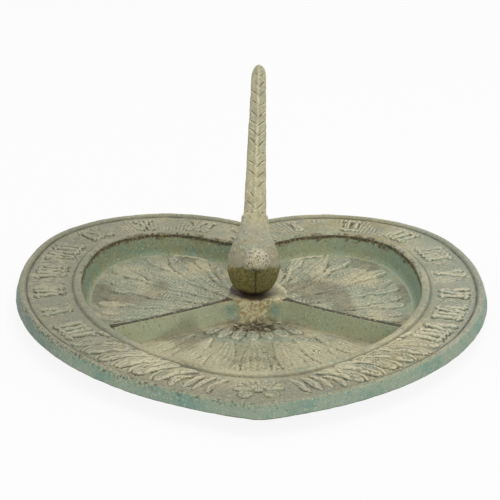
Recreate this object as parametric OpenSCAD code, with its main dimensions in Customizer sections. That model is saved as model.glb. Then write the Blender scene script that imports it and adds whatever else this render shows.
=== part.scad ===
// Heart-shaped cast sundial: a three-part dish with hour numerals on its flange,
// and a perching bird whose raised tail is the style that throws the shadow.
// Millimetres, +Z up. The tip of the heart points to -Y and noon lies towards +Y.
// The origin is under the middle of the dish, on the face it rests on.

/* [Heart outline] */
// Width of the dish over the top edge of its flange
dish_w = 287; // [260:1:310]
// Radius of the two lobes
lobe_r = 85; // [78:1:87]
// How far the flanks swell out beyond the lobes
flank_swell = 5.5; // [3:0.5:8]
// Distance of the lobe centres behind the hub
lobe_back = 54; // [48:1:60]
// Radius of the long flanks that run to the tip
flank_r = 193; // [180:1:220]
// Radius of the outer tip
tip_r = 18; // [12:1:24]
// Radius of the bowl's tip
bowl_tip_r = 67; // [60:1:72]
// Radius of the cleft between the lobes
cleft_r = 6; // [4:1:10]

/* [Dish section] */
// Height of the dish from its resting face to the rim
dish_h = 18; // [16:0.5:24]
// Width of the flange from its outer edge to the bowl
flange_w = 38; // [34:0.5:42]
// Thickness of the flange between its beads
flange_t = 3.6; // [3:0.1:5]
// Height of the skirt that hangs from the outer edge
skirt_h = 8.6; // [7.5:0.1:11]
// Thickness of the skirt
skirt_t = 4; // [3:0.1:5]
// How far the skirt flares outwards
skirt_flare = 2; // [1:0.1:3]
// Width of the outer bead
outer_bead_w = 6; // [4:0.5:8]
// Width of the bead round the bowl
bowl_bead_w = 6.5; // [4:0.5:8]
// Height of both beads above the band between them
bead_h = 1.6; // [1:0.1:2]
// Thickness of the bowl's floor
floor_t = 4; // [3:0.1:5]
// Thickness of the bowl's wall
wall_t = 4; // [3:0.1:5]
// How far the bowl's wall leans in from rim to floor
wall_draft = 3.2; // [2:0.1:5]

/* [Dividers and hub] */
// Width of the dividers at the top
divider_t = 2.6; // [2:0.1:4]
// How much wider the dividers are at the floor
divider_draft = 3.2; // [1:0.1:4]
// Angle of the front dividers below the line from VI to VI
divider_angle = 33; // [28:1:38]
// How far the crests of the dividers lie below the rim
divider_drop = 0.4; // [0.2:0.1:2]
// How far the front dividers bow forwards
divider_bow = 3; // [1:0.5:6]
// Radius of the hub at its top
hub_r = 17; // [15:0.5:20]
// How much wider the hub is at the floor
hub_draft = 1.5; // [0.5:0.1:3]
// Thickness of the hub's top
hub_web_t = 6; // [5:0.1:7]
// Radius of the hollow under the hub
hub_hollow_r = 12; // [10:0.5:13]

/* [Hour numerals] */
// Angle from one hour to the next about the hub
hour_step = 15; // [14:0.5:15.5]
// Hours on each side of noon
hours_each_side = 8; // [6:1:8]
// Height of a numeral
numeral_h = 18; // [14:0.5:20]
// Width of a stroke
stroke_w = 2.3; // [1.4:0.1:2.6]
// Length of a serif
serif_l = 4; // [3:0.1:5]
// Height of the numerals above the flange
numeral_rise = 1.2; // [0.6:0.1:1.6]

/* [Cast leaves] */
// Height of the leaves above the floor and the flange
leaf_rise = 1.6; // [1:0.1:2.2]
// Gap between the leaves and the walls, and between one ring of leaves and the next
leaf_gap = 4; // [3:0.5:6]
// Long leaves in each side compartment
side_leaves = 7; // [5:1:8]
// Width of the long leaves for their length
side_leaf_share = 0.15; // [0.1:0.01:0.16]
// How far the long leaves bend round the hub
side_leaf_bend = 7; // [0:0.5:9]
// Petals of the shell in front of the hub
shell_petals = 7; // [5:2:9]
// Length of the shell's petals
shell_petal_l = 24; // [18:1:28]
// Petals beyond the shell
front_petals = 7; // [5:2:7]
// Width of the front petals for their length
front_petal_share = 0.27; // [0.18:0.01:0.3]
// Leaves of the scroll on each side of the heart's tip
scroll_leaves = 6; // [4:1:7]
// Width of a scroll leaf
scroll_leaf_w = 9.5; // [7:0.5:10]
// Petals of the palmette at the heart's tip
palmette_petals = 9; // [5:2:11]
// Length of the palmette's petals from its middle
palmette_r = 14.5; // [11:0.5:15]

/* [Bird] */
// Slope of the style, the latitude that the dial is made for
style_angle = 45; // [38:1:52]
// Radius of the body
body_r = 16; // [14:0.5:17]
// Gap between the bird's belly and the hub, round its foot
belly_gap = 1.6; // [1.2:0.1:4]
// Distance of the body's middle in front of the hub's axis
body_forward = 4.5; // [2:0.5:6]
// Distance from the middle of the body to the root of the tail
tail_root = 33; // [28:1:40]
// Distance from the middle of the body to the tip of the tail
tail_reach = 140; // [120:1:150]
// Width of the tail at its root
tail_root_w = 14; // [11:0.5:15]
// Width of the tail near its tip
tail_tip_w = 8.8; // [7:0.2:10]
// How far the rump's feathers stand out round the tail's root
rump_step = 1.2; // [0.6:0.1:2]
// Depth of the tail at its root
tail_root_d = 9; // [7:0.5:11]
// Depth of the tail near its tip
tail_tip_d = 5; // [4:0.2:7]
// Length of the tail's rounded end
tail_end_l = 12; // [8:0.5:16]
// Radius of the head
head_r = 7.4; // [6.8:0.1:8.5]
// Rise of the head above the horizontal, seen from the body's middle
head_rise = 32; // [25:1:40]
// How far the head leans to the afternoon side
head_lean = 2.3; // [0:0.1:3]
// Length of the beak from the middle of the head
beak_l = 12; // [10:0.5:14]
// Radius of the beak at its root
beak_r = 3.6; // [2.5:0.1:4.5]
// How far the beak points downwards
beak_drop = 10; // [0:1:20]
// Length of a folded wing
wing_l = 36; // [30:1:40]
// Height of a folded wing
wing_h = 18; // [14:0.5:20]
// Thickness of a folded wing
wing_t = 7; // [5:0.5:8]
// How far a folded wing stands out from the flank
wing_proud = 0.8; // [0.4:0.1:1.4]
// Radius of the foot that stands on the hub
foot_r = 8; // [7.5:0.1:10]

/* [Fixing] */
// Diameter of the fixing screw
screw_d = 5; // [4:0.1:6]
// Length of the screw under its head
screw_l = 16; // [14:0.5:18]
// Diameter of the screw's head
screw_head_d = 9.6; // [8:0.1:11]
// Height of the screw's head
screw_head_h = 3.6; // [2.8:0.1:4]
// Diameter of the washer
washer_d = 15; // [12:0.5:17]
// Thickness of the washer
washer_t = 1.2; // [1:0.1:1.6]
// Diameter of the peg that keeps the bird on the noon line
peg_d = 3; // [2.4:0.1:3.2]
// Length of the peg
peg_l = 3; // [2:0.1:3.5]
// Distance of the peg behind the hub's axis
peg_back = 5.4; // [5:0.1:5.8]
// Gap all round the screw in the hub and in the washer
screw_gap = 0.3; // [0.2:0.05:0.5]
// Gap all round the screw in the bird's threaded hole
thread_gap = 0.1; // [0.05:0.05:0.2]
// Gap round and under the peg
peg_gap = 0.2; // [0.1:0.05:0.3]

/* [Hidden] */
$fn = 64;

// Steps along each stretch of one half of the heart
cleft_steps = 5;
lobe_steps = 26;
flank_steps = 20;
tip_steps = 5;
divider_steps = 8;
leaf_steps = 4;

// Small roundings of the casting's section
edge_round = 0.6;
foot_round = 2.5;
under_chamfer = 3;

// Section of a leaf: share of its half width, share of its height, with its feet below the ground
leaf_section = [[-1, -1], [-0.7, 0.75], [0, 1], [0.7, 0.75], [1, -1]];
leaf_sink = 0.5;
leaf_end = 0.03;

// Layout of the leaves: least angles to the dividers, and the shares of the short leaves between long ones
side_margin = 13;
front_margin = 12;
shell_spread = 39;
shell_petal_share = 0.33;
bud_start = 0.74;
bud_share = 0.32;
scroll_turn = 165;
scroll_step = 5.6;

// Centres and angles of the heart's arcs, measured from the hub's axis
lobe_x = dish_w / 2 - flank_swell - lobe_r;
flank_x = dish_w / 2 - flank_r;
flank_start = acos((lobe_x - flank_x) / (flank_r - lobe_r));
flank_y = lobe_back - (flank_r - lobe_r) * sin(flank_start);
cleft_y = lobe_back + sqrt(pow(lobe_r + cleft_r, 2) - pow(lobe_x, 2));
cleft_end = atan2(cleft_y - lobe_back, -lobe_x);

// The tip grows from its outer radius to the bowl's radius across the flange
function tip_radius(inset) =
    inset <= flange_w
        ? tip_r + (bowl_tip_r - tip_r) * inset / flange_w
        : bowl_tip_r - (inset - flange_w);
function tip_centre(inset) =
    flank_y - sqrt(pow(flank_r - inset - tip_radius(inset), 2) - pow(flank_x, 2));

// Points of an arc, without the last one
function arc(x, y, r, from, to, steps) =
    [for (i = [0 : steps - 1]) let (a = from + (to - from) * i / steps) [x + r * cos(a), y + r * sin(a)]];

// Right half of the heart from the cleft to the tip, at a distance inside its outline
function half_heart(inset) =
    let (
        tip = tip_radius(inset),
        tip_y = tip_centre(inset),
        tip_start = atan2(tip_y - flank_y, -flank_x)
    )
    concat(
        arc(0, cleft_y, cleft_r + inset, -90, cleft_end - 180, cleft_steps),
        arc(lobe_x, lobe_back, lobe_r - inset, cleft_end, flank_start, lobe_steps),
        arc(flank_x, flank_y, flank_r - inset, flank_start, tip_start, flank_steps),
        arc(0, tip_y, tip, tip_start, -90, tip_steps),
        [[0, tip_y - tip]]
    );

// Whole outline, clockwise from the cleft
function heart(inset) =
    let (half = half_heart(inset), last = len(half) - 1)
    concat(half, [for (i = [last - 1 : -1 : 1]) [-half[i][0], half[i][1]]]);

// Place of the hub: the outline's box is centred on the origin
outline = heart(-skirt_flare);
outline_ys = [for (p = outline) p[1]];
hub_y = -(max(outline_ys) + min(outline_ys)) / 2;

band_z = dish_h - bead_h;
under_z = band_z - flange_t;
skirt_z = dish_h - skirt_h;
floor_inset = flange_w + wall_draft;
under_inset = floor_inset - wall_t;

// Section of the casting from the floor, over the rim, to the underside: [inset, height]
section = [
    [floor_inset + foot_round, floor_t],
    [floor_inset + foot_round / 3, floor_t + foot_round / 5],
    [floor_inset - foot_round / 10, floor_t + foot_round],
    [flange_w + edge_round, dish_h - 2 * edge_round],
    [flange_w - edge_round / 2, dish_h - edge_round / 2],
    [flange_w - 2 * edge_round, dish_h],
    [flange_w - bowl_bead_w + bead_h, dish_h],
    [flange_w - bowl_bead_w + bead_h / 2, dish_h - bead_h / 3],
    [flange_w - bowl_bead_w, band_z],
    [outer_bead_w, band_z],
    [outer_bead_w - bead_h / 2, dish_h - bead_h / 3],
    [outer_bead_w - bead_h, dish_h],
    [3 * edge_round, dish_h],
    [edge_round, dish_h - edge_round / 2],
    [0, dish_h - 2 * edge_round],
    [-skirt_flare, skirt_z + edge_round],
    [edge_round - skirt_flare, skirt_z],
    [skirt_t - skirt_flare, skirt_z],
    [skirt_t, under_z],
    [flange_w - wall_t, under_z],
    [under_inset - edge_round / 2, under_chamfer],
    [under_inset + under_chamfer, 0]
];

// Closed solid through rings of points that all have the same number of points
module skin(rings) {
    n = len(rings[0]);
    last = len(rings) - 1;
    sides = [
        for (j = [0 : last - 1]) for (i = [0 : n - 1])
            let (k = (i + 1) % n)
            each [
                [j * n + i, (j + 1) * n + i, (j + 1) * n + k],
                [j * n + i, (j + 1) * n + k, j * n + k]
            ]
    ];
    first_cap = [for (i = [0 : n - 1]) i];
    last_cap = [for (i = [n - 1 : -1 : 0]) last * n + i];
    polyhedron([for (r = rings) each r], concat(sides, [first_cap, last_cap]));
}

function lift(points, z) = [for (p = points) [p[0], p[1], z]];

// The flange, skirt, wall and floor in one skin
module shell() {
    skin([for (s = section) lift(heart(s[0]), s[1])]);
}

// Where a ray from the hub, turned clockwise from noon, crosses a closed outline: [place, direction]
function crossing(a, points) =
    let (
        d = [sin(a), cos(a)],
        n = len(points),
        found = [for (i = [0 : n - 1])
            let (
                p = points[i],
                q = points[(i + 1) % n],
                side_p = p[0] * d[1] - p[1] * d[0],
                side_q = q[0] * d[1] - q[1] * d[0],
                hit = p + (q - p) * side_p / (side_p - side_q)
            )
            if (side_p * side_q <= 0 && side_p != side_q && hit * d > 0) [hit, q - p]]
    )
    found[0];

// Upright section of a divider: [sideways, height], from its foot over its rounded crest
divider_top_z = dish_h - divider_drop;
divider_section = concat(
    [[-divider_t / 2 - divider_draft / 2, floor_t / 2]],
    [for (a = [180 : -30 : 0]) [cos(a), sin(a) - 1] * divider_t / 2 + [0, divider_top_z]],
    [[divider_t / 2 + divider_draft / 2, floor_t / 2]]
);

// A divider runs from the hub's axis into the wall, and its end leans as the wall does
module divider(turn, bow = 0) {
    reach_top = norm(crossing(turn, heart(flange_w - wall_t / 2))[0]);
    reach_foot = norm(crossing(turn, heart(floor_inset - wall_t / 2))[0]);
    rotate(-turn)
        skin([
            for (j = [0 : divider_steps])
                [for (p = divider_section)
                    let (
                        share = j / divider_steps,
                        up = (p[1] - floor_t) / (dish_h - floor_t),
                        reach = reach_foot + (reach_top - reach_foot) * up
                    )
                    [p[0] + 4 * bow * share * (1 - share), reach * share, p[1]]]
        ]);
}

module dividers() {
    divider(90 + divider_angle, divider_bow);
    mirror([1, 0, 0]) divider(90 + divider_angle, divider_bow);
    divider(0);
}

module hub() {
    rotate_extrude()
        polygon([
            [0, floor_t / 2],
            [hub_r + hub_draft, floor_t / 2],
            [hub_r + hub_draft, floor_t],
            [hub_r, dish_h - edge_round],
            [hub_r - edge_round, dish_h],
            [0, dish_h]
        ]);
}

// The hollow under the hub, the screw's hole and the socket of the bird's peg
module hub_bores() {
    hollow_h = dish_h - hub_web_t;
    translate([0, 0, -1]) cylinder(r = hub_hollow_r, h = hollow_h + 1);
    translate([0, 0, -1]) cylinder(d = screw_d + 2 * screw_gap, h = dish_h + 2);
    translate([0, peg_back, dish_h - peg_l - peg_gap])
        cylinder(d = peg_d + 2 * peg_gap, h = peg_l + 1);
}

// One stroke with a serif at each end, standing on its foot
module stroke(lean = 0, serif = serif_l) {
    run = numeral_h * tan(lean);
    translate([run / 2, 0])
        polygon([
            [-run / 2 - stroke_w / 2 - run / 2, 0],
            [stroke_w / 2 - run, 0],
            [stroke_w / 2, numeral_h],
            [-stroke_w / 2, numeral_h]
        ]);
    translate([-run / 2 - serif / 2, 0]) square([serif, stroke_w / 2]);
    translate([run / 2 - serif / 2, numeral_h - stroke_w / 2]) square([serif, stroke_w / 2]);
}

function letter_w(c) = c == "I" ? 2.4 * stroke_w : numeral_h / 2 + stroke_w;

module letter(c) {
    if (c == "I") stroke();
    if (c == "V") {
        translate([-numeral_h / 8, 0]) stroke(-14, serif_l * 0.7);
        translate([numeral_h / 8, 0]) stroke(14, serif_l * 0.7);
    }
    if (c == "X") {
        stroke(-24, serif_l * 0.7);
        stroke(24, serif_l * 0.7);
    }
}

// A numeral, centred on the origin with its foot towards -Y
function word_w(word, end) = end == 0 ? 0 : letter_w(word[end - 1]) + word_w(word, end - 1);

module numeral(word) {
    total = word_w(word, len(word));
    for (i = [0 : len(word) - 1])
        translate([word_w(word, i) + letter_w(word[i]) / 2 - total / 2, -numeral_h / 2])
            letter(word[i]);
}

hour_words = ["XII", "I", "II", "III", "IIII", "V", "VI", "VII", "VIII", "IX", "X", "XI"];

module hour_numerals() {
    middle = heart((outer_bead_w + flange_w - bowl_bead_w) / 2);
    for (hour = [-hours_each_side : hours_each_side]) {
        found = crossing(hour * hour_step, middle);
        place = found[0];
        along = found[1];
        translate([place[0], place[1], band_z - flange_t / 2])
            rotate(atan2(along[1], along[0]))
                linear_extrude(flange_t / 2 + numeral_rise)
                    numeral(hour_words[(hour + 12) % 12]);
    }
}

function unit(v) = v / norm(v);

// Share of its full width that a leaf has at a share of its length
function leaf_fat(t) = sqrt(sin(180 * pow(t, 1.3)));

// A raised leaf along a curve in the plan, its foot sunk into what carries it
module leaf(root, bend, tip, w, z) {
    skin([
        for (i = [0 : leaf_steps])
            let (
                t = leaf_end + (1 - 2 * leaf_end) * i / leaf_steps,
                place = (1 - t) * (1 - t) * root + 2 * t * (1 - t) * bend + t * t * tip,
                way = unit((1 - t) * (bend - root) + t * (tip - bend)),
                half = w / 2 * leaf_fat(t),
                rise = leaf_rise * (1 + leaf_fat(t)) / 2
            )
            [for (p = leaf_section)
                let (x = p[0] * half)
                [place[0] + x * way[1], place[1] - x * way[0], z + (p[1] < 0 ? -leaf_sink : p[1] * rise)]]
    ]);
}

// Points at a distance from the hub, turned clockwise from noon, with an offset to the right of that ray
function at_turn(turn, r, offset = 0) =
    [r * sin(turn) + offset * cos(turn), r * cos(turn) - offset * sin(turn)];

// Distance from the hub at which a leaf ends before the wall
function leaf_reach(turn) = norm(crossing(turn, heart(floor_inset + foot_round))[0]) - leaf_gap;

// A leaf on the floor that points away from the hub
module floor_leaf(turn, from_r, to_r, share, bend = 0) {
    length = to_r - from_r;
    leaf(at_turn(turn, from_r), at_turn(turn, from_r + length * 0.55, bend), at_turn(turn, to_r),
        length * share, floor_t);
}

// Turns of a number of leaves from one ray to another, and the turns between them
function turns(from, to, count) = [for (i = [0 : count - 1]) from + (to - from) * i / (count - 1)];
function between(list) = [for (i = [0 : len(list) - 2]) (list[i] + list[i + 1]) / 2];

leaf_root_r = hub_r + hub_draft + leaf_gap;
side_turns = turns(side_margin, 90 + divider_angle - side_margin - 3, side_leaves);
front_turns = turns(90 + divider_angle + front_margin, 270 - divider_angle - front_margin, front_petals);
shell_turns = turns(180 - shell_spread, 180 + shell_spread, shell_petals);

module side_spray() {
    for (turn = side_turns)
        floor_leaf(turn, leaf_root_r, leaf_reach(turn), side_leaf_share, side_leaf_bend);
    for (turn = between(side_turns))
        floor_leaf(turn, leaf_reach(turn) * bud_start, leaf_reach(turn), bud_share);
}

module front_spray() {
    for (turn = shell_turns)
        floor_leaf(turn, leaf_root_r, leaf_root_r + shell_petal_l, shell_petal_share);
    for (turn = front_turns)
        floor_leaf(turn, leaf_root_r + shell_petal_l + leaf_gap / 2, leaf_reach(turn), front_petal_share);
    for (turn = between(front_turns))
        floor_leaf(turn, leaf_reach(turn) * bud_start, leaf_reach(turn), bud_share);
}

// A place on the flange, by its ray from the hub and its distance inside the edge
function on_band(turn, inset) = crossing(turn, heart(inset))[0];

module scroll() {
    for (i = [0 : scroll_leaves - 1]) {
        turn = scroll_turn - scroll_step * i;
        leaf(on_band(turn, flange_w - bowl_bead_w - 3), on_band(turn - 8, flange_w - bowl_bead_w - 7),
            on_band(turn - 8.5, outer_bead_w + 2), scroll_leaf_w, band_z);
    }
}

// Petals that open towards the bowl, over two volutes
module palmette() {
    middle = on_band(180, (outer_bead_w + flange_w - bowl_bead_w) / 2) - [0, 1];
    for (turn = turns(-80, 80, palmette_petals))
        leaf(middle + at_turn(turn, palmette_r / 4), middle + at_turn(turn, palmette_r / 2),
            middle + at_turn(turn, palmette_r), palmette_r / 4, band_z);
    for (side = [-1, 1])
        translate([middle[0] + side * palmette_r / 2, middle[1] - palmette_r / 3, band_z - leaf_sink])
            cylinder(r = palmette_r / 3.6, h = leaf_sink + leaf_rise * 0.8, $fn = 24);
}

module cast_leaves() {
    side_spray();
    mirror([1, 0, 0]) side_spray();
    front_spray();
    scroll();
    mirror([1, 0, 0]) scroll();
    palmette();
}

module heart_dish() {
    color([0.60, 0.62, 0.52])
        translate([0, hub_y, 0])
            difference() {
                union() {
                    shell();
                    dividers();
                    hub();
                    hour_numerals();
                    cast_leaves();
                }
                hub_bores();
            }
}

// Height of the body's middle above the hub
body_up = body_r + belly_gap;

// Half width or half depth of the bird along its axis, from its breast to its tail's tip
tail_taper_end = tail_reach - tail_end_l;

function swell(t, root, tip) =
    t < 0
        ? sqrt(body_r * body_r - t * t)
        : t <= tail_root
            ? root + rump_step + (body_r - root - rump_step) * (1 + cos(180 * t / tail_root)) / 2
            : t < tail_taper_end
                ? root + (tip - root) * (t - tail_root) / (tail_taper_end - tail_root)
                : tip * sqrt(1 - pow((t - tail_taper_end) / tail_end_l, 2));

bird_sides = 32;
breast_steps = 7;
back_steps = 9;
tail_steps = 6;
end_steps = 5;

// Stations along the bird's axis, closer together where it is round
bird_stations = concat(
    [for (i = [1 : breast_steps - 1]) -body_r * cos(90 * i / breast_steps)],
    [for (i = [0 : back_steps]) tail_root * i / back_steps],
    [for (i = [0 : tail_steps - 1])
        let (start = tail_root + rump_step) start + (tail_taper_end - start) * i / tail_steps],
    [for (i = [0 : end_steps - 1]) tail_taper_end + tail_end_l * sin(88 * i / (end_steps - 1))]
);

module body_and_tail() {
    rotate([style_angle - 90, 0, 0])
        skin([
            for (t = bird_stations)
                let (
                    w = swell(t, tail_root_w / 2, tail_tip_w / 2),
                    d = swell(t, tail_root_d / 2, tail_tip_d / 2)
                )
                [for (i = [0 : bird_sides - 1]) let (a = 360 * i / bird_sides) [w * cos(a), d * sin(a), t]]
        ]);
}

// The head and beak stand out of the front of the body, on a short thick throat
module head() {
    throat_r = 0.74 * body_r;
    head_place = [head_lean, -body_r * cos(head_rise), body_r * sin(head_rise)];
    hull() {
        translate(head_place) sphere(r = head_r, $fn = 32);
        translate([0, -0.2 * body_r, -0.1 * body_r]) sphere(r = throat_r, $fn = 32);
    }
    translate(head_place)
        rotate([90 + beak_drop, 0, 0]) cylinder(r1 = beak_r, r2 = beak_r / 6, h = beak_l);
}

wing_stations = 9;
wing_sides = 16;

// A folded wing is a flat leaf that lies along the flank and points at the tail
module wing() {
    front = -0.4 * body_r;
    flank = swell(front + wing_l, tail_root_w / 2, tail_tip_w / 2);
    lean = asin((body_r - flank) / wing_l);
    rotate([style_angle - 90, 0, 0])
        translate([body_r + wing_proud - wing_t / 2, 0, front])
            rotate([0, -lean, 0])
                skin([
                    for (j = [0 : wing_stations])
                        let (
                            s = sin(88 * (2 * j / wing_stations - 1)),
                            fat = sqrt(1 - s * s) * (1 - 0.35 * s)
                        )
                        [for (i = [0 : wing_sides - 1])
                            let (a = 360 * i / wing_sides)
                            [wing_t / 2 * fat * cos(a), wing_h / 2 * fat * sin(a), wing_l * (1 + s) / 2]]
                ]);
}

module bird_gnomon() {
    hole_h = screw_l - hub_web_t - washer_t + 1;
    color([0.66, 0.66, 0.54])
        translate([0, hub_y, dish_h])
            difference() {
                union() {
                    translate([0, -body_forward, body_up]) {
                        body_and_tail();
                        head();
                        wing();
                        mirror([1, 0, 0]) wing();
                    }
                    cylinder(r = foot_r, h = body_up - body_forward);
                    translate([0, peg_back, -peg_l]) cylinder(d = peg_d, h = peg_l + 1);
                }
                translate([0, 0, -1]) cylinder(d = screw_d + 2 * thread_gap, h = hole_h + 1);
            }
}

// The screw comes up through the washer and the hub into the bird
module fixing_screw() {
    seat_z = dish_h - hub_web_t - washer_t;
    dome_r = screw_head_d / 2;
    slot_w = screw_head_d / 8;
    slot_l = screw_head_d * 0.55;
    color([0.62, 0.62, 0.60])
        translate([0, hub_y, seat_z])
            difference() {
                union() {
                    cylinder(d = screw_d, h = screw_l);
                    intersection() {
                        translate([0, 0, -screw_head_h]) cylinder(r = dome_r, h = screw_head_h);
                        translate([0, 0, screw_head_h]) sphere(r = 2 * screw_head_h);
                    }
                }
                for (turn = [0, 90])
                    rotate(turn)
                        translate([-slot_l / 2, -slot_w / 2, -screw_head_h - 1])
                            cube([slot_l, slot_w, screw_head_h / 2 + 1]);
            }
}

module washer() {
    color([0.66, 0.66, 0.64])
        translate([0, hub_y, dish_h - hub_web_t - washer_t])
            difference() {
                cylinder(d = washer_d, h = washer_t);
                translate([0, 0, -1]) cylinder(d = screw_d + 2 * screw_gap, h = washer_t + 2);
            }
}

heart_dish();
bird_gnomon();
fixing_screw();
washer();
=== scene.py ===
"""Looks of the heart-shaped cast sundial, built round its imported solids.

Shapes are worked out in millimetres about the hub's axis, and put_mesh turns them into metres.
"""

import math

import bmesh
import bpy
import numpy as np
from mathutils import Matrix, Vector
from mathutils.geometry import delaunay_2d_cdt
from mathutils.kdtree import KDTree


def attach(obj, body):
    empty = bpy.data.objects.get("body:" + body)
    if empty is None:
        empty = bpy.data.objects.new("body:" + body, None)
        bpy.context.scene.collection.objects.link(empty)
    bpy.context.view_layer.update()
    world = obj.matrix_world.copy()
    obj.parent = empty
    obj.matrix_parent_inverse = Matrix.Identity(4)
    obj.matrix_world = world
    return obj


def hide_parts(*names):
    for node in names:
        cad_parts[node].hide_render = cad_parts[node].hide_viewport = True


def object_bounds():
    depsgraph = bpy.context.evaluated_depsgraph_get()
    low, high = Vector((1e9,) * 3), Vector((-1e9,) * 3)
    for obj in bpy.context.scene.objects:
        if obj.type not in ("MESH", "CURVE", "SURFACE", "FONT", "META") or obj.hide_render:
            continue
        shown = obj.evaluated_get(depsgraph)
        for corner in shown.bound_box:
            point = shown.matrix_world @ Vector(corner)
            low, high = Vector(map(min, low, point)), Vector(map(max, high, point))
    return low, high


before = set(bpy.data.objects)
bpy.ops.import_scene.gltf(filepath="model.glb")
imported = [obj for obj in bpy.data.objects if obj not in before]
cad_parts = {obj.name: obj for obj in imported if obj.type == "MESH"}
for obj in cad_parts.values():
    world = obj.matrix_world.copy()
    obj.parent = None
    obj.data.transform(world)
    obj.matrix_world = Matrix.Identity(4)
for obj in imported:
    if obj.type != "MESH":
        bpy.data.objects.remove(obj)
cad_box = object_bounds()

MM = 0.001

# Outline of the heart
DISH_W = 287
LOBE_R = 85
FLANK_SWELL = 5.5
LOBE_BACK = 54
FLANK_R = 193
TIP_R = 18
BOWL_TIP_R = 67
CLEFT_R = 6

# Section of the dish
DISH_H = 18
FLANGE_W = 38
FLANGE_T = 3.6
SKIRT_H = 8.6
SKIRT_T = 4
SKIRT_FLARE = 2
OUTER_BEAD_W = 4.2
BOWL_BEAD_W = 5
BEAD_H = 1.6
FLOOR_T = 4
WALL_T = 4
WALL_DRAFT = 3.2
EDGE_ROUND = 0.6
FOOT_ROUND = 2.5
UNDER_CHAMFER = 3

# Dividers and hub
DIVIDER_T = 2.6
DIVIDER_DRAFT = 3.2
DIVIDER_ANGLE = 33
DIVIDER_DROP = 0.4
DIVIDER_BOW = 3
HUB_R = 17
HUB_DRAFT = 1.5
HUB_WEB_T = 6
HUB_HOLLOW_R = 12
SCREW_HOLE_R = 2.8

# Hour numerals
HOUR_STEP = 15
HOURS_EACH_SIDE = 8
NUMERAL_H = 15.5
STROKE_W = 2.3
SERIF_L = 4
NUMERAL_RISE = 1.2
HOUR_WORDS = ["XII", "I", "II", "III", "IIII", "V", "VI", "VII", "VIII", "IX", "X", "XI"]

# Cast leaves
LEAF_RISE = 1.6
LEAF_GAP = 4
SIDE_LEAVES = 7
SIDE_LEAF_SHARE = 0.15
SIDE_LEAF_BEND = 7
SHELL_PETALS = 7
SHELL_PETAL_L = 24
FRONT_PETALS = 7
FRONT_PETAL_SHARE = 0.27
SCROLL_LEAVES = 6
SCROLL_LEAF_W = 9.5
PALMETTE_PETALS = 9
PALMETTE_R = 14.5
LEAF_END = 0.03
LEAF_GROOVE = 0.3
RIB_RISE = 0.2
VEIN_RISE = 0.24
MIDRIB_CUT = 0.35
SIDE_MARGIN = 13
FRONT_MARGIN = 12
SHELL_SPREAD = 39
SHELL_PETAL_SHARE = 0.33
BUD_START = 0.74
BUD_SHARE = 0.32
SCROLL_TURN = 165
SCROLL_STEP = 5.6
SPRIG_TURNS = (172.5, 169.5, 167)

# Bird
STYLE_ANGLE = 45
BODY_R = 16
BODY_UP = 17.6
BODY_FORWARD = 4.5
TAIL_ROOT = 33
TAIL_REACH = 140
TAIL_ROOT_W = 14
TAIL_TIP_W = 9.5
RUMP_STEP = 1.2
TAIL_ROOT_D = 9
TAIL_TIP_D = 5
TAIL_END_L = 12
TAIL_SHORT = 0.7
HEAD_R = 7.4
HEAD_RISE = 32
HEAD_LEAN = 2.3
BEAK_L = 12
BEAK_R = 3.6
BEAK_DROP = 10
FOOT_R = 8

# Spacing of the meshes' points
FINE = 0.5
COARSE = 4
FLOOR_STEP = 0.55
HUB_STEP = 0.8
HUB_SIDES = 180
BIRD_VOXEL = 0.5
HALF_STEPS = (40, 300, 460, 70)
SPINE_POINTS = 30
BALL_STEPS, BALL_SIDES = 24, 40
BEAK_STEPS, BEAK_SIDES = 12, 24
WING_STEPS, WING_SIDES = 20, 32
BODY_SIDES = 64
FOOT_SIDES = 48

# Gaps between the floor's grid and the rows of points round it, and the slack at a round hole
WALL_SEAM = 0.7
HUB_SEAM = 0.5
HOLE_SLACK = 0.05


def sind(angle):
    return math.sin(math.radians(angle))


def cosd(angle):
    return math.cos(math.radians(angle))


# Centres and angles of the heart's arcs
LOBE_X = DISH_W / 2 - FLANK_SWELL - LOBE_R
FLANK_X = DISH_W / 2 - FLANK_R
FLANK_START = math.degrees(math.acos((LOBE_X - FLANK_X) / (FLANK_R - LOBE_R)))
FLANK_Y = LOBE_BACK - (FLANK_R - LOBE_R) * sind(FLANK_START)
CLEFT_Y = LOBE_BACK + math.sqrt((LOBE_R + CLEFT_R) ** 2 - LOBE_X**2)
CLEFT_END = math.degrees(math.atan2(CLEFT_Y - LOBE_BACK, -LOBE_X))

BAND_Z = DISH_H - BEAD_H
BAND_INNER = FLANGE_W - BOWL_BEAD_W
BAND_MIDDLE = (OUTER_BEAD_W + BAND_INNER) / 2
UNDER_Z = BAND_Z - FLANGE_T
SKIRT_Z = DISH_H - SKIRT_H
FLOOR_INSET = FLANGE_W + WALL_DRAFT
FLOOR_EDGE = FLOOR_INSET + FOOT_ROUND
UNDER_INSET = FLOOR_INSET - WALL_T
LEAF_ROOT_R = HUB_R + HUB_DRAFT + LEAF_GAP

# What the attribute inset says where no distance from the edge is meant
FLOOR_MARK = 50
HUB_MARK = 60
DIVIDER_MARK = 70


def arc(x, y, r, start, end, steps):
    """Points of an arc, without the last one."""
    a = np.radians(start + (end - start) * np.arange(steps) / steps)
    return np.stack([x + r * np.cos(a), y + r * np.sin(a)], axis=1)


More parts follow.
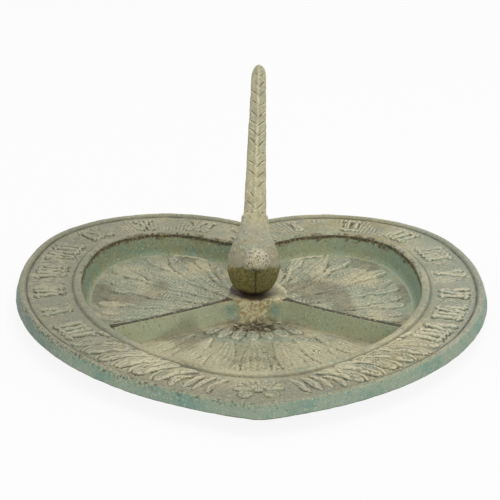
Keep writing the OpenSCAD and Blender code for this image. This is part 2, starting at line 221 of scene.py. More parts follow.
def heart(inset):
    """The whole outline at a distance inside the dish's edge, clockwise from the cleft."""
    if inset <= FLANGE_W:
        tip = TIP_R + (BOWL_TIP_R - TIP_R) * inset / FLANGE_W
    else:
        tip = BOWL_TIP_R - (inset - FLANGE_W)
    tip_y = FLANK_Y - math.sqrt((FLANK_R - inset - tip) ** 2 - FLANK_X**2)
    tip_start = math.degrees(math.atan2(tip_y - FLANK_Y, -FLANK_X))
    half = np.concatenate([
        arc(0, CLEFT_Y, CLEFT_R + inset, -90, CLEFT_END - 180, HALF_STEPS[0]),
        arc(LOBE_X, LOBE_BACK, LOBE_R - inset, CLEFT_END, FLANK_START, HALF_STEPS[1]),
        arc(FLANK_X, FLANK_Y, FLANK_R - inset, FLANK_START, tip_start, HALF_STEPS[2]),
        arc(0, tip_y, tip, tip_start, -90, HALF_STEPS[3]),
        [[0, tip_y - tip]],
    ])
    return np.concatenate([half, half[1:-1][::-1] * [-1, 1]])


SKIRT_LINE = heart(-SKIRT_FLARE)
HUB_AT = np.array([0, -(SKIRT_LINE[:, 1].max() + SKIRT_LINE[:, 1].min()) / 2, 0])
RING_N = len(SKIRT_LINE)


def smooth(x):
    """A soft step from 0 to 1."""
    x = np.clip(x, 0, 1)
    return x * x * (3 - 2 * x)


def bell(x, middle, width):
    """1 at the middle, fading out over the width."""
    return np.exp(-(((x - middle) / width) ** 2))


def noise(p, size, seed):
    """Smooth repeatable noise from -1 to 1 at points p, with cells of the given size."""
    q = np.asarray(p, float) / size
    base = np.floor(q).astype(np.int64)
    f = q - base
    f = f * f * (3 - 2 * f)
    total = np.zeros(len(q))
    for corner in np.ndindex(*(2,) * q.shape[1]):
        cell = base + np.array(corner)
        h = np.full(len(q), seed * 668265263, np.int64)
        weight = np.ones(len(q))
        for k, prime in zip(range(q.shape[1]), (73856093, 19349663, 83492791)):
            h = h ^ (cell[:, k] * prime)
            weight = weight * (f[:, k] if corner[k] else 1 - f[:, k])
        h = (h ^ (h >> 13)) * 1274126177
        h = (h ^ (h >> 16)) & 0xFFFF
        total += weight * h / 0xFFFF
    return 2 * total - 1


def put_object(name, data):
    obj = bpy.data.objects.new(name, data)
    bpy.context.scene.collection.objects.link(obj)
    return obj


def put_mesh(name, points, faces):
    """A mesh object from points in millimetres about the hub."""
    mesh = bpy.data.meshes.new(name)
    mesh.from_pydata(((points + HUB_AT) * MM).tolist(), [], faces)
    mesh.validate()
    mesh.update()
    return put_object(name, mesh)


def read(data, field, width=3):
    """A field of a mesh's data as rows of numbers."""
    found = np.empty(len(data) * width, np.float32)
    data.foreach_get(field, found)
    return found.reshape(-1, width).astype(float)


def points_of(mesh):
    """The mesh's points in millimetres about the hub."""
    return read(mesh.vertices, "co") / MM - HUB_AT


def normals_of(mesh):
    return read(mesh.vertex_normals, "vector")


def move_points(mesh, points):
    mesh.vertices.foreach_set("co", ((points + HUB_AT) * MM).astype(np.float32).ravel())
    mesh.update()


def keep(mesh, **fields):
    """Stores numbers for each point, by name, for the materials."""
    for name, values in fields.items():
        attribute = mesh.attributes.new(name, "FLOAT", "POINT")
        attribute.data.foreach_set("value", np.asarray(values, np.float32))


def cavities(mesh, *rounds):
    """How far each point stands proud of its surroundings, for each number of smoothing rounds."""
    co, normals, n = points_of(mesh), normals_of(mesh), len(mesh.vertices)
    ends = np.empty(len(mesh.edges) * 2, np.int32)
    mesh.edges.foreach_get("vertices", ends)
    a, b = ends[0::2], ends[1::2]
    count = np.maximum(np.bincount(ends, minlength=n), 1)
    soft, found = co.copy(), []
    for step in range(1, max(rounds) + 1):
        for k in range(3):
            total = np.bincount(a, soft[b, k], n) + np.bincount(b, soft[a, k], n)
            soft[:, k] = (soft[:, k] + total / count) / 2
        if step in rounds:
            found.append(((co - soft) * normals).sum(1))
    return found


def roughen(mesh, layers):
    """Moves the points along their normals by layers of noise: (size, height, seed)."""
    co = points_of(mesh)
    push = sum(height * noise(co, size, seed) for size, height, seed in layers)
    move_points(mesh, co + normals_of(mesh) * push[:, None])


def at_turn(turn, r, offset=0.0):
    """A point at distance r from the hub, turned clockwise from noon, offset to the right of that ray."""
    s, c = sind(turn), cosd(turn)
    return np.array([r * s + offset * c, r * c - offset * s])


def crossing(turn, points):
    """Where a ray from the hub meets an outline, and the outline's direction there."""
    d = at_turn(turn, 1)
    after = np.roll(points, -1, axis=0)
    side = points[:, 0] * d[1] - points[:, 1] * d[0]
    side_after = after[:, 0] * d[1] - after[:, 1] * d[0]
    i = np.nonzero((side * side_after <= 0) & (side != side_after) & ((points @ d) > 0))[0][0]
    share = side[i] / (side[i] - side_after[i])
    return points[i] + (after[i] - points[i]) * share, after[i] - points[i]


def spot(turn, inset):
    """The place on a ray from the hub that lies at a distance inside the dish's edge."""
    return crossing(turn, heart(inset))[0]


# Relief on level ground: heights H over points P in the plan, each stamp laid over the last

def along(P, spine):
    """For each point its share along the spine, and its offset to the left of it."""
    d = ((P[:, None, :] - spine[None]) ** 2).sum(2)
    i = np.clip(d.argmin(1), 0, len(spine) - 2)
    i = np.where((i > 0) & (d[np.arange(len(P)), i - 1] < d[np.arange(len(P)), i + 1]), i - 1, i)
    step = spine[i + 1] - spine[i]
    size = np.maximum((step**2).sum(1), 1e-9)
    rel = P - spine[i]
    share = (rel * step).sum(1) / size
    offset = (step[:, 0] * rel[:, 1] - step[:, 1] * rel[:, 0]) / np.sqrt(size)
    return (i + share) / (len(spine) - 1), offset


def leaf(P, H, root, bend, tip, width, ribs=0.0, veins=0.0, rim=0.0, rise=LEAF_RISE):
    """A leaf along a curve. ribs is their number each side, veins the distance between slanting ones."""
    t = np.linspace(0, 1, SPINE_POINTS)[:, None]
    spine = (1 - t) ** 2 * root + 2 * t * (1 - t) * bend + t**2 * tip
    reach = width / 2 + 2
    pick = np.nonzero(((P > spine.min(0) - reach) & (P < spine.max(0) + reach)).all(1))[0]
    if not len(pick):
        return
    share, offset = along(P[pick], spine)
    u = np.clip(share, 0, 1)
    fat = np.sqrt(np.maximum(np.sin(np.pi * u**1.3), 0))
    half = np.maximum(width / 2 * fat, 0.05)
    x = offset / half
    inside = (np.abs(x) < 1) & (share > LEAF_END) & (share < 1 - LEAF_END)
    body = np.sqrt(np.clip(1 - x * x, 0, 1))
    h = rise * (1 + fat) / 2 * body
    if ribs:
        h = h + RIB_RISE * np.cos(2 * np.pi * x * ribs) * body
    if veins:
        length = np.hypot(*np.diff(spine, axis=0).T).sum()
        slant = (u * length - 0.9 * np.abs(offset)) / veins
        h = h + VEIN_RISE * np.sin(2 * np.pi * slant) * np.clip(1 - np.abs(x), 0, 1) ** 0.4
        h = h - MIDRIB_CUT * bell(offset, 0, 0.6)
    if rim:
        h = h + rim * bell(np.abs(x), 0.8, 0.16) * body
    beside = ~inside & (share > -LEAF_END) & (share < 1 + LEAF_END)
    cut = np.where(beside, LEAF_GROOVE * bell((np.abs(x) - 1) * half, 0, 0.8), 0)
    H[pick] = np.where(inside, np.maximum(h, H[pick]), H[pick] - cut)


def dome(P, H, centre, radius, rise, hollow=0.0):
    """A round boss, with a hollow in it where hollow isn't 0."""
    d = np.hypot(*(P - centre).T) / radius
    body = rise * np.sqrt(np.clip(1 - d**4, 0, 1)) - hollow * bell(d, 0, 0.35)
    H[:] = np.where(d < 1, np.maximum(body, H), H - 0.2 * bell((d - 1) * radius, 0, 0.7))


# Relief of the flange

def numeral_strokes(word):
    """Strokes and serifs of a numeral about its middle: (start, end, half width)."""
    letter_w = {"I": 2.4 * STROKE_W, "V": NUMERAL_H / 2 + STROKE_W, "X": NUMERAL_H / 2 + STROKE_W}
    leans = {"I": [(0, 0)], "V": [(-14, -NUMERAL_H / 8), (14, NUMERAL_H / 8)], "X": [(-24, 0), (24, 0)]}
    x = -sum(letter_w[c] for c in word) / 2
    found = []
    for c in word:
        middle = x + letter_w[c] / 2
        serif = SERIF_L / 2 * (1 if c == "I" else 0.7)
        for lean, shift in leans[c]:
            run = NUMERAL_H * math.tan(math.radians(lean)) / 2
            foot, top = (middle + shift - run, -NUMERAL_H / 2), (middle + shift + run, NUMERAL_H / 2)
            found.append((foot, top, STROKE_W / 2))
            for end, inward in ((foot, 1), (top, -1)):
                y = end[1] + inward * STROKE_W / 4
                found.append(((end[0] - serif, y), (end[0] + serif, y), STROKE_W / 3.2))
        x += letter_w[c]
    return found


def stamp_numerals(P, H):
    middle = heart(BAND_MIDDLE)
    for hour in range(-HOURS_EACH_SIDE, HOURS_EACH_SIDE + 1):
        place, way = crossing(hour * HOUR_STEP, middle)
        way = way / np.hypot(*way)
        pick = np.nonzero(((P - place) ** 2).sum(1) < NUMERAL_H**2 * 1.3)[0]
        near = P[pick]
        rel = near - place
        local = np.stack([rel @ way, rel @ np.array([-way[1], way[0]])], 1)
        local = local + 0.35 * np.stack([noise(near, 5, 11), noise(near, 5, 12)], 1)
        gap = np.full(len(pick), 9.0)
        for foot, top, half in numeral_strokes(HOUR_WORDS[hour % 12]):
            foot, run = np.array(foot), np.array(top) - foot
            t = np.clip(((local - foot) @ run) / (run @ run), 0, 1)
            gap = np.minimum(gap, np.hypot(*(local - foot - t[:, None] * run).T) - half)
        worn = 1 - 0.45 * smooth(cosd(hour * HOUR_STEP)) * smooth(0.5 + noise(near, 9, 5))
        H[pick] += NUMERAL_RISE * worn * smooth(0.75 - gap) - 0.42 * bell(gap, 1.1, 0.6)


# Leaves of the scroll: turns back from the scroll's own and insets of root, bend and tip, width, looks
LEAF_TIP = OUTER_BEAD_W + 2
SCROLL = [
    ((0, BAND_INNER - 3), (8, BAND_INNER - 7), (8.5, LEAF_TIP), SCROLL_LEAF_W, {"ribs": 2, "rim": 0.25}),
    ((1, BAND_INNER - 9), (5, BAND_INNER - 13), (4.5, LEAF_TIP), SCROLL_LEAF_W / 2,
     {"ribs": 1, "rise": 0.7 * LEAF_RISE}),
    ((6, BAND_INNER - 0.5), (10, BAND_INNER - 1), (13, BAND_INNER - 3), SCROLL_LEAF_W / 2.6,
     {"rise": 0.6 * LEAF_RISE}),
]
SPRIG = ((0, BAND_INNER - 4), (2, BAND_INNER - 9), (3.5, LEAF_TIP + 2), SCROLL_LEAF_W / 2,
         {"ribs": 1, "rise": 0.5 * LEAF_RISE})


def band_leaf(P, H, turn, root, bend, tip, width, looks):
    leaf(P, H, *(spot(turn - back, inset) for back, inset in (root, bend, tip)), width, **looks)


def stamp_scroll(P, H):
    """The leaf scrolls on both sides of the tip, and the palmette on it."""
    for side in (1, -1):
        Q = P * [side, 1]
        for i in range(SCROLL_LEAVES):
            for row in SCROLL:
                band_leaf(Q, H, SCROLL_TURN - SCROLL_STEP * i, *row)
        for turn in SPRIG_TURNS:
            band_leaf(Q, H, turn, *SPRIG)
    middle = spot(180, BAND_MIDDLE) - [0, 1]
    for turn in turns(-80, 80, PALMETTE_PETALS):
        leaf(P, H, *(middle + at_turn(turn, PALMETTE_R / share) for share in (4, 2, 1)), PALMETTE_R / 4)
    for side in (-1, 1):
        place = middle + [side * PALMETTE_R / 2, -PALMETTE_R / 3]
        dome(P, H, place, PALMETTE_R / 3.6, 0.8 * LEAF_RISE, 0.6)
    dome(P, H, middle, PALMETTE_R / 6, LEAF_RISE)


def band_ground(P, run):
    """Fine ribs across the band and lumps, between and over the numerals."""
    ribs = np.cos(2 * np.pi * run / 2.7 + 1.5 * noise(P, 9, 71)) * smooth(0.55 + noise(P, 11, 72))
    ribs = ribs * (0.3 + 0.7 * smooth((P[:, 1] + 50) / 40))
    return 0.26 * ribs + 0.24 * noise(P, 4, 73) + 0.2 * noise(P, 2, 74)


# Relief of the floor

def leaf_reach(turn):
    """Distance from the hub at which a leaf ends before the wall."""
    return np.hypot(*spot(turn, FLOOR_EDGE)) - LEAF_GAP


def floor_leaf(P, H, turn, from_r, to_r, share, bend=0.0, **looks):
    """A leaf on the floor that points away from the hub."""
    length = to_r - from_r
    leaf(P, H, at_turn(turn, from_r), at_turn(turn, from_r + 0.55 * length, bend), at_turn(turn, to_r),
         length * share, **looks)


def turns(start, end, count):
    return [start + (end - start) * i / (count - 1) for i in range(count)]


def between_turns(found):
    return [(a + b) / 2 for a, b in zip(found, found[1:])]


def stamp_side_floor(P, H):
    """Long veined leaves with short ones between their tips, and slips of leaf between their roots."""
    fan = turns(SIDE_MARGIN, 90 + DIVIDER_ANGLE - SIDE_MARGIN - 3, SIDE_LEAVES)
    for turn in between_turns(fan):
        r = leaf_reach(turn)
        floor_leaf(P, H, turn, 0.42 * r, 0.80 * r, 0.10, SIDE_LEAF_BEND / 2, ribs=1, rise=0.55 * LEAF_RISE)
    for turn in fan:
        floor_leaf(P, H, turn, LEAF_ROOT_R, leaf_reach(turn), SIDE_LEAF_SHARE, SIDE_LEAF_BEND, veins=3.1)
    for turn in between_turns(fan):
        floor_leaf(P, H, turn, BUD_START * leaf_reach(turn), leaf_reach(turn), BUD_SHARE, ribs=1.5)


def stamp_front_floor(P, H):
    """A shell of petals before the hub, and broad ribbed petals beyond it."""
    fan = turns(90 + DIVIDER_ANGLE + FRONT_MARGIN, 270 - DIVIDER_ANGLE - FRONT_MARGIN, FRONT_PETALS)
    shell_r = LEAF_ROOT_R + SHELL_PETAL_L
    for turn in fan:
        floor_leaf(P, H, turn, shell_r + LEAF_GAP / 2, leaf_reach(turn), FRONT_PETAL_SHARE, ribs=2, rim=0.3)
    for turn in between_turns(fan):
        floor_leaf(P, H, turn, BUD_START * leaf_reach(turn), leaf_reach(turn), BUD_SHARE, veins=2.4)
    for turn in turns(180 - SHELL_SPREAD, 180 + SHELL_SPREAD, SHELL_PETALS):
        floor_leaf(P, H, turn, LEAF_ROOT_R, shell_r, SHELL_PETAL_SHARE, ribs=1)


# Dividers, as a turn from noon and a bow, and how hub and dividers differ from the CAD's plain ones
DIVIDERS = [(90 + DIVIDER_ANGLE, DIVIDER_BOW), (-90 - DIVIDER_ANGLE, -DIVIDER_BOW), (0, 0)]
HUB_BLEND = 12.5
HUB_FRONT = 14.8
RIDGE_SHIFT = np.array([3.0, 0.9])
CREST_ROUND = 0.5
WALL_FLARE = 2
WALL_FLARE_L = 9
WALL_LEAN_L = 14


def divider_reach(turn):
    """How far a divider runs at its top and at its foot."""
    return [np.hypot(*spot(turn, inset - WALL_T / 2)) for inset in (FLANGE_W, FLOOR_INSET)]


def bowed(bow, share):
    return 4 * bow * share * (1 - share)


def ridge_gap(P):
    """Distance outside the hub and the dividers in the plan, blended where they meet."""
    P = P - RIDGE_SHIFT
    gap = np.maximum(np.hypot(*P.T) - HUB_R, -P[:, 1] - HUB_FRONT)
    for turn, bow in DIVIDERS:
        run = P @ at_turn(turn, 1)
        reach = divider_reach(turn)[0]
        off = np.abs(P @ at_turn(turn, 0, 1) - bowed(bow, run / reach))
        half = DIVIDER_T / 2 + WALL_FLARE * smooth(1 - (reach - run) / WALL_FLARE_L)
        strip_gap = np.where(run > 0, off, np.hypot(run, off)) - half
        share = np.clip(0.5 + (gap - strip_gap) / (2 * HUB_BLEND), 0, 1)
        gap = gap * (1 - share) + strip_gap * share - HUB_BLEND * share * (1 - share)
    return gap


def warped(P):
    """The plan's points, pushed about a little so that no outline is quite regular."""
    push = [0.8 * noise(P, 10, seed) + 0.35 * noise(P, 4, seed + 1) for seed in (51, 53)]
    return P + np.stack(push, 1)


def ground(P):
    """The cast ground between the leaves: fine ribs round the hub, and lumps."""
    r, a = np.hypot(*P.T), np.arctan2(P[:, 0], P[:, 1])
    ribs = np.cos(a * 46 + 0.05 * r + 1.2 * noise(P, 12, 61)) * smooth(0.4 + noise(P, 15, 62))
    return 0.2 * ribs + 0.34 * noise(P, 5, 63) + 0.3 * noise(P, 2.6, 64)


def strokes(P):
    """Fine strokes that swirl over the floor, as of feathers and grass."""
    swirl = 2.6 * noise(P, 26, 67)
    across = P[:, 0] * np.cos(swirl) + P[:, 1] * np.sin(swirl)
    fine = np.cos(2 * np.pi * across / 2.4 + 2.5 * noise(P, 8, 68))
    return 0.2 * fine * smooth(0.45 + noise(P, 9, 69)) + 0.16 * noise(P, 1.5, 70)


def floor_relief(P, wall_gap):
    """Height of the floor's relief, fading out at the walls, the dividers and the hub."""
    H, Q = ground(P), warped(P)
    front = P[:, 1] < -np.abs(P[:, 0]) * math.tan(math.radians(DIVIDER_ANGLE))
    right = P[:, 0] > 0
    zones = [(front, 1, stamp_front_floor), (~front & right, 1, stamp_side_floor),
             (~front & ~right, -1, stamp_side_floor)]
    for zone, side, stamp in zones:
        h = H[zone]
        stamp(Q[zone] * [side, 1], h)
        H[zone] = h
    worn = (0.16 * noise(P, 4.5, 65) - 0.25 * smooth(0.4 + noise(P, 17, 66))) * np.abs(H)
    fade = smooth((wall_gap - 2.6) / 3.0) * smooth((ridge_gap(P) - 3.0 - 1.5 * front) / 3.0)
    return (H + worn) * fade


# The dish as one closed mesh: insets and heights of its section from the floor round to the underside

SECTION = [
    (FLOOR_EDGE, FLOOR_T),
    (FLOOR_INSET + FOOT_ROUND / 3, FLOOR_T + FOOT_ROUND / 5),
    (FLOOR_INSET - FOOT_ROUND / 10, FLOOR_T + FOOT_ROUND),
    (FLANGE_W + EDGE_ROUND, DISH_H - 2 * EDGE_ROUND),
    (FLANGE_W - EDGE_ROUND / 2, DISH_H - EDGE_ROUND / 2),
    (FLANGE_W - 2 * EDGE_ROUND, DISH_H),
    (BAND_INNER + BEAD_H, DISH_H),
    (BAND_INNER + BEAD_H / 2, DISH_H - BEAD_H / 3),
    (BAND_INNER, BAND_Z),
    (OUTER_BEAD_W, BAND_Z),
    (OUTER_BEAD_W - BEAD_H / 2, DISH_H - BEAD_H / 3),
    (OUTER_BEAD_W - BEAD_H, DISH_H),
    (3 * EDGE_ROUND, DISH_H),
    (EDGE_ROUND, DISH_H - EDGE_ROUND / 2),
    (0, DISH_H - 2 * EDGE_ROUND),
    (-SKIRT_FLARE, SKIRT_Z + EDGE_ROUND),
    (EDGE_ROUND - SKIRT_FLARE, SKIRT_Z),
    (SKIRT_T - SKIRT_FLARE, SKIRT_Z),
    (SKIRT_T, UNDER_Z),
    (FLANGE_W - WALL_T, UNDER_Z),
    (UNDER_INSET - EDGE_ROUND / 2, UNDER_CHAMFER),
    (UNDER_INSET + UNDER_CHAMFER, 0),
]
SKIRT_FOOT = 17
SHARP_STATIONS = 12

# Radii and heights of the hub's core, from the floor over the top and down through the hollow
HUB_CORE_R = HUB_R - 3.9
HUB_PROFILE = [
    (HUB_CORE_R + 1, FLOOR_T),
    (HUB_CORE_R, FLOOR_T + 1),
    (HUB_CORE_R, DISH_H - 1),
    (SCREW_HOLE_R, DISH_H - 1),
    (SCREW_HOLE_R, DISH_H - HUB_WEB_T),
    (HUB_HOLLOW_R, DISH_H - HUB_WEB_T),
    (HUB_HOLLOW_R, 0),
]


def stepped(profile, count_of):
    """A profile with more points; count_of gives the steps for the number and length of each piece."""
    profile = np.array(profile, float)
    found = []
    for i, (p, q) in enumerate(zip(profile, profile[1:])):
        count = max(1, count_of(i, np.hypot(*(q - p))))
        found += [p + (q - p) * k / count for k in range(count)]
    return np.array(found + [profile[-1]])


def section_stations():
    """The section with finer steps where it shows, softened but for its last stations."""
    found = stepped(SECTION, lambda i, length: math.ceil(length / (FINE if i < SKIRT_FOOT else COARSE)))
    end = len(found) - SHARP_STATIONS
    for _ in range(3):
        found[1:end] = (found[1:end] * 2 + found[:end - 1] + found[2:end + 1]) / 4
    return found


def circle(r, z):
    a = 2 * np.pi * np.arange(HUB_SIDES) / HUB_SIDES
    return np.stack([r * np.sin(a), r * np.cos(a), np.full(HUB_SIDES, z)], 1)


def strip(low, high, count):
    """Quads between two closed rows of points that start at the given numbers."""
    i = np.arange(count)
    k = (i + 1) % count
    return np.stack([low + i, high + i, high + k, low + k], 1).tolist()


def tube(first, rows, n, turned=False):
    """Quads between closed rows of n points each, from the point with the given number."""
    quads = []
    for low in range(first, first + n * (rows - 1), n):
        quads += strip(low + n, low, n) if turned else strip(low, low + n, n)
    return quads


def inside_rows(xs, ys, outline):
    """Which points of a grid lie inside an outline, found row by row."""
    after = np.roll(outline, -1, axis=0)
    mask = np.zeros((len(ys), len(xs)), bool)
    for j, y in enumerate(ys):
        cut = (outline[:, 1] > y) != (after[:, 1] > y)
        p, q = outline[cut], after[cut]
        hits = np.sort(p[:, 0] + (y - p[:, 1]) / (q[:, 1] - p[:, 1]) * (q[:, 0] - p[:, 0]))
        for left, right in zip(hits[0::2], hits[1::2]):
            mask[j] |= (xs > left) & (xs < right)
    return mask


def between(points, loops, spare):
    """Triangles that fill the plan between loops of point numbers, without those whose middle is spare."""
    numbers = np.concatenate(loops)
    edges, at = [], 0
    for loop in loops:
        edges += [(at + i, at + (i + 1) % len(loop)) for i in range(len(loop))]
        at += len(loop)
    plan = [Vector(p) for p in points[numbers, :2].tolist()]
    verts, _, faces, origins = delaunay_2d_cdt(plan, edges, [], 1, 1e-6, True)[:4]
    tris = []
    for f in faces:
        middle = sum((verts[i] for i in f), Vector((0, 0))) / len(f)
        if not spare(middle.x, middle.y):
            tris.append([int(numbers[origins[i][0]]) for i in f])
    return tris


def facing(points, tris, up):
    """The triangles, turned so that they face up or down."""
    tris = np.array(tris)
    a, b, c = points[tris[:, 0]], points[tris[:, 1]], points[tris[:, 2]]
    area = (b[:, 0] - a[:, 0]) * (c[:, 1] - a[:, 1]) - (b[:, 1] - a[:, 1]) * (c[:, 0] - a[:, 0])
    flip = (area > 0) != up
    tris[flip] = tris[flip][:, ::-1]
    return tris.tolist()


def grid_loops(mask):
    """Closed loops of grid corners round the kept cells, as (row, column) lists."""
    kept = set(zip(*np.nonzero(mask)))
    step = {}
    for j, i in kept:
        sides = (((j - 1, i), (j, i), (j, i + 1)), ((j, i + 1), (j, i + 1), (j + 1, i + 1)),
                 ((j + 1, i), (j + 1, i + 1), (j + 1, i)), ((j, i - 1), (j + 1, i), (j, i)))
        for other, start, end in sides:
            if other not in kept:
                step.setdefault(start, []).append(end)
    loops = []
    while step:
        start = next(iter(step))
        loop, at = [], start
        while True:
            loop.append(at)
            ends = step[at]
            at, rest = ends[0], ends[1:]
            if rest:
                step[loop[-1]] = rest
            else:
                del step[loop[-1]]
            if at == start:
                break
        loops.append(loop)
    return loops


def softened(grid, used):
    """The grid's values, blurred over the used places."""
    weight = used.astype(float)
    for axis in (0, 1):
        total = 2 * grid * weight + sum(np.roll(grid * weight, k, axis) for k in (1, -1))
        count = 2 * weight + sum(np.roll(weight, k, axis) for k in (1, -1))
        grid = total / np.maximum(count, 1)
    return grid


def distances(places, points):
    """How far each place lies from the nearest of the points."""
    tree = KDTree(len(points))
    for i, p in enumerate(points):
        tree.insert((p[0], p[1], 0), i)
    tree.balance()
    return np.array([tree.find((x, y, 0))[2] for x, y in places.tolist()])


def floor_cells(edge, hole_r):
    """Lines of the floor's grid along X and Y, and which of its cells lie between the wall and the hub."""
    inner = heart(edge + WALL_SEAM)
    xs, ys = (np.arange(low, high + FLOOR_STEP, FLOOR_STEP) for low, high in zip(inner.min(0), inner.max(0)))
    X, Y = np.meshgrid(xs, ys)
    node = inside_rows(xs, ys, inner) & (np.hypot(X, Y) > hole_r + HUB_SEAM)
    return xs, ys, node[:-1, :-1] & node[1:, :-1] & node[:-1, 1:] & node[1:, 1:]


def corners(cell):
    """Which nodes of a grid are a corner of a kept cell."""
    rows, cols = cell.shape
    used = np.zeros((rows + 1, cols + 1), bool)
    for j, i in np.ndindex(2, 2):
        used[j:j + rows, i:i + cols] |= cell
    return used


def floor_points(xs, ys, used, rim):
    """Points of the floor at the used nodes of its grid."""
    j, i = np.nonzero(used)
    plan = np.stack([xs[i], ys[j]], 1)
    relief = np.zeros(used.shape)
    relief[used] = floor_relief(plan, distances(plan, rim))
    height = softened(relief, used)[used] + strokes(plan) * smooth(np.abs(relief[used]) / 0.3)
    return np.column_stack([plan, FLOOR_T + height])


def inside_hole(r):
    """A test for plan points that lie in a round hole about the hub."""
    return lambda x, y: math.hypot(x, y) < r - HOLE_SLACK


def dish_parts():
    """Points, faces and insets of the closed casting, and how many of its points lie on the section."""
    stations = section_stations()
    core = stepped(HUB_PROFILE, lambda i, length: round(length / HUB_STEP))
    hub_first = len(stations) * RING_N
    grid_first = hub_first + len(core) * HUB_SIDES
    xs, ys, cell = floor_cells(stations[0, 0], core[0, 0])
    used = corners(cell)
    number = np.full(used.shape, -1)
    number[used] = grid_first + np.arange(used.sum())

    points = [np.column_stack([heart(s), np.full(RING_N, z)]) for s, z in stations]
    points += [circle(r, z) for r, z in core]
    points = np.concatenate(points + [floor_points(xs, ys, used, heart(stations[0, 0]))])
    insets = np.concatenate([np.repeat(stations[:, 0], RING_N), np.full(grid_first - hub_first, HUB_MARK),
                             np.full(used.sum(), FLOOR_MARK)])

    j, i = np.nonzero(cell)
    quads = np.stack([number[j, i], number[j, i + 1], number[j + 1, i + 1], number[j + 1, i]], 1).tolist()
    in_core = inside_hole(core[0, 0])

    def spare(x, y):
        b, a = int((x - xs[0]) // FLOOR_STEP), int((y - ys[0]) // FLOOR_STEP)
        in_grid = 0 <= a < cell.shape[0] and 0 <= b < cell.shape[1]
        return in_core(x, y) or (in_grid and bool(cell[a, b]))

    ring_row, hub_row = np.arange(RING_N), np.arange(HUB_SIDES)
    loops = [ring_row, hub_first + hub_row]
    loops += [np.array([number[node] for node in loop]) for loop in grid_loops(cell)]
    top = facing(points, between(points, loops, spare), True)
    loops = [hub_first - RING_N + ring_row, grid_first - HUB_SIDES + hub_row]
    bottom = facing(points, between(points, loops, inside_hole(HUB_HOLLOW_R)), False)
    faces = tube(0, len(stations), RING_N) + tube(hub_first, len(core), HUB_SIDES, True)
    return points, faces + quads + top + bottom, insets, hub_first


def band_run(ring_index):
    """Millimetres along the middle of the band from the cleft."""
    middle = heart(BAND_MIDDLE)
    steps = np.hypot(*(np.roll(middle, -1, axis=0) - middle).T)
    return np.concatenate([[0], np.cumsum(steps)[:-1]])[ring_index]


def make_dish():
    points, faces, insets, count = dish_parts()
    first, last = OUTER_BEAD_W - 0.2, BAND_INNER + 0.6
    on_top = points[:count, 2] > UNDER_Z + 2
    band = np.nonzero((insets[:count] > first) & (insets[:count] < last) & on_top)[0]
    P = points[band, :2]
    H = np.zeros(len(band))
    stamp_scroll(warped(P), H)
    stamp_numerals(P, H)
    H *= 1 + 0.3 * noise(P, 3.5, 75) + 0.2 * noise(P, 1.8, 76)
    from_edge = np.minimum(insets[band] - first, last - insets[band])
    H += band_ground(P, band_run(band % RING_N)) * smooth((from_edge - 1.5) / 3)
    points[band, 2] += H * smooth(from_edge / 1.6)
    obj = put_mesh("heart_casting", points, faces)
    keep(obj.data, inset=insets, crest=np.zeros(len(points)), gold=np.zeros(len(points)))
    return obj


# Side of the ridge of hub and dividers: distance outside its top outline, and height over the floor
RIDGE_FOOT = [(3.2, -0.5), (2.0, 0.0), (1.1, 0.5), (0.5, 1.2), (0.15, 2.2)]
RIDGE_STEPS = 12


def ridge_levels():
    shoulder = DISH_H - DIVIDER_DROP - CREST_ROUND
    wall_h = shoulder - FLOOR_T
    found = [(DIVIDER_DRAFT / 2 * (1 - up / wall_h) + off, FLOOR_T + up) for off, up in RIDGE_FOOT]
    off, z = found[-1]
    for k in range(1, RIDGE_STEPS + 1):
        found.append((off * (1 - k / RIDGE_STEPS), z + (shoulder - z) * k / RIDGE_STEPS))
    for a in (25, 50, 90):
        found.append((-CREST_ROUND * (1 - cosd(a)), shoulder + CREST_ROUND * sind(a)))
    return found + [(-0.85, shoulder + CREST_ROUND), (0.15 - DIVIDER_T / 2, shoulder + CREST_ROUND)]


def ridge_start():
    """Points round the hub and along the dividers, with the way and share that each leans at the wall."""
    places, ways, shares = [], [], []
    order = sorted(DIVIDERS, key=lambda item: item[0] % 360)
    for k, (turn, bow) in enumerate(order):
        d, right = at_turn(turn, 1), at_turn(turn, 0, 1)
        reach = divider_reach(turn)[1]
        runs = np.append(np.arange(HUB_R + 1, reach, 0.6), reach)
        for side in (-1, 1):
            off = bowed(bow, runs / reach) + side * DIVIDER_T / 2
            places.append((runs[:, None] * d + off[:, None] * right)[::-side])
            ways.append(np.repeat([d], len(runs), 0))
            shares.append(smooth((runs - reach + WALL_LEAN_L) / WALL_LEAN_L)[::-side])
        gap = math.degrees(1.6 * DIVIDER_T / HUB_R)
        after = order[(k + 1) % len(order)][0] % 360 or 360
        a = np.radians(np.arange(turn % 360 + gap, after - gap, 2))
        places.append(HUB_R * np.stack([np.sin(a), np.cos(a)], 1))
        ways.append(np.zeros((len(a), 2)))
        shares.append(np.zeros(len(a)))
    return np.concatenate(places) + RIDGE_SHIFT, np.concatenate(ways), np.concatenate(shares)


def ridge_slope(P):
    """How fast the ridge's gap grows along X and along Y."""
    step = 0.05
    rises = [ridge_gap(P + way) - ridge_gap(P - way) for way in (np.array([step, 0]), np.array([0, step]))]
    return np.stack(rises, 1) / (2 * step)


def beyond(offset):
    """A test for plan points that lie outside the ridge's outline at an offset."""
    return lambda x, y: ridge_gap(np.array([[x, y]]))[0] > offset


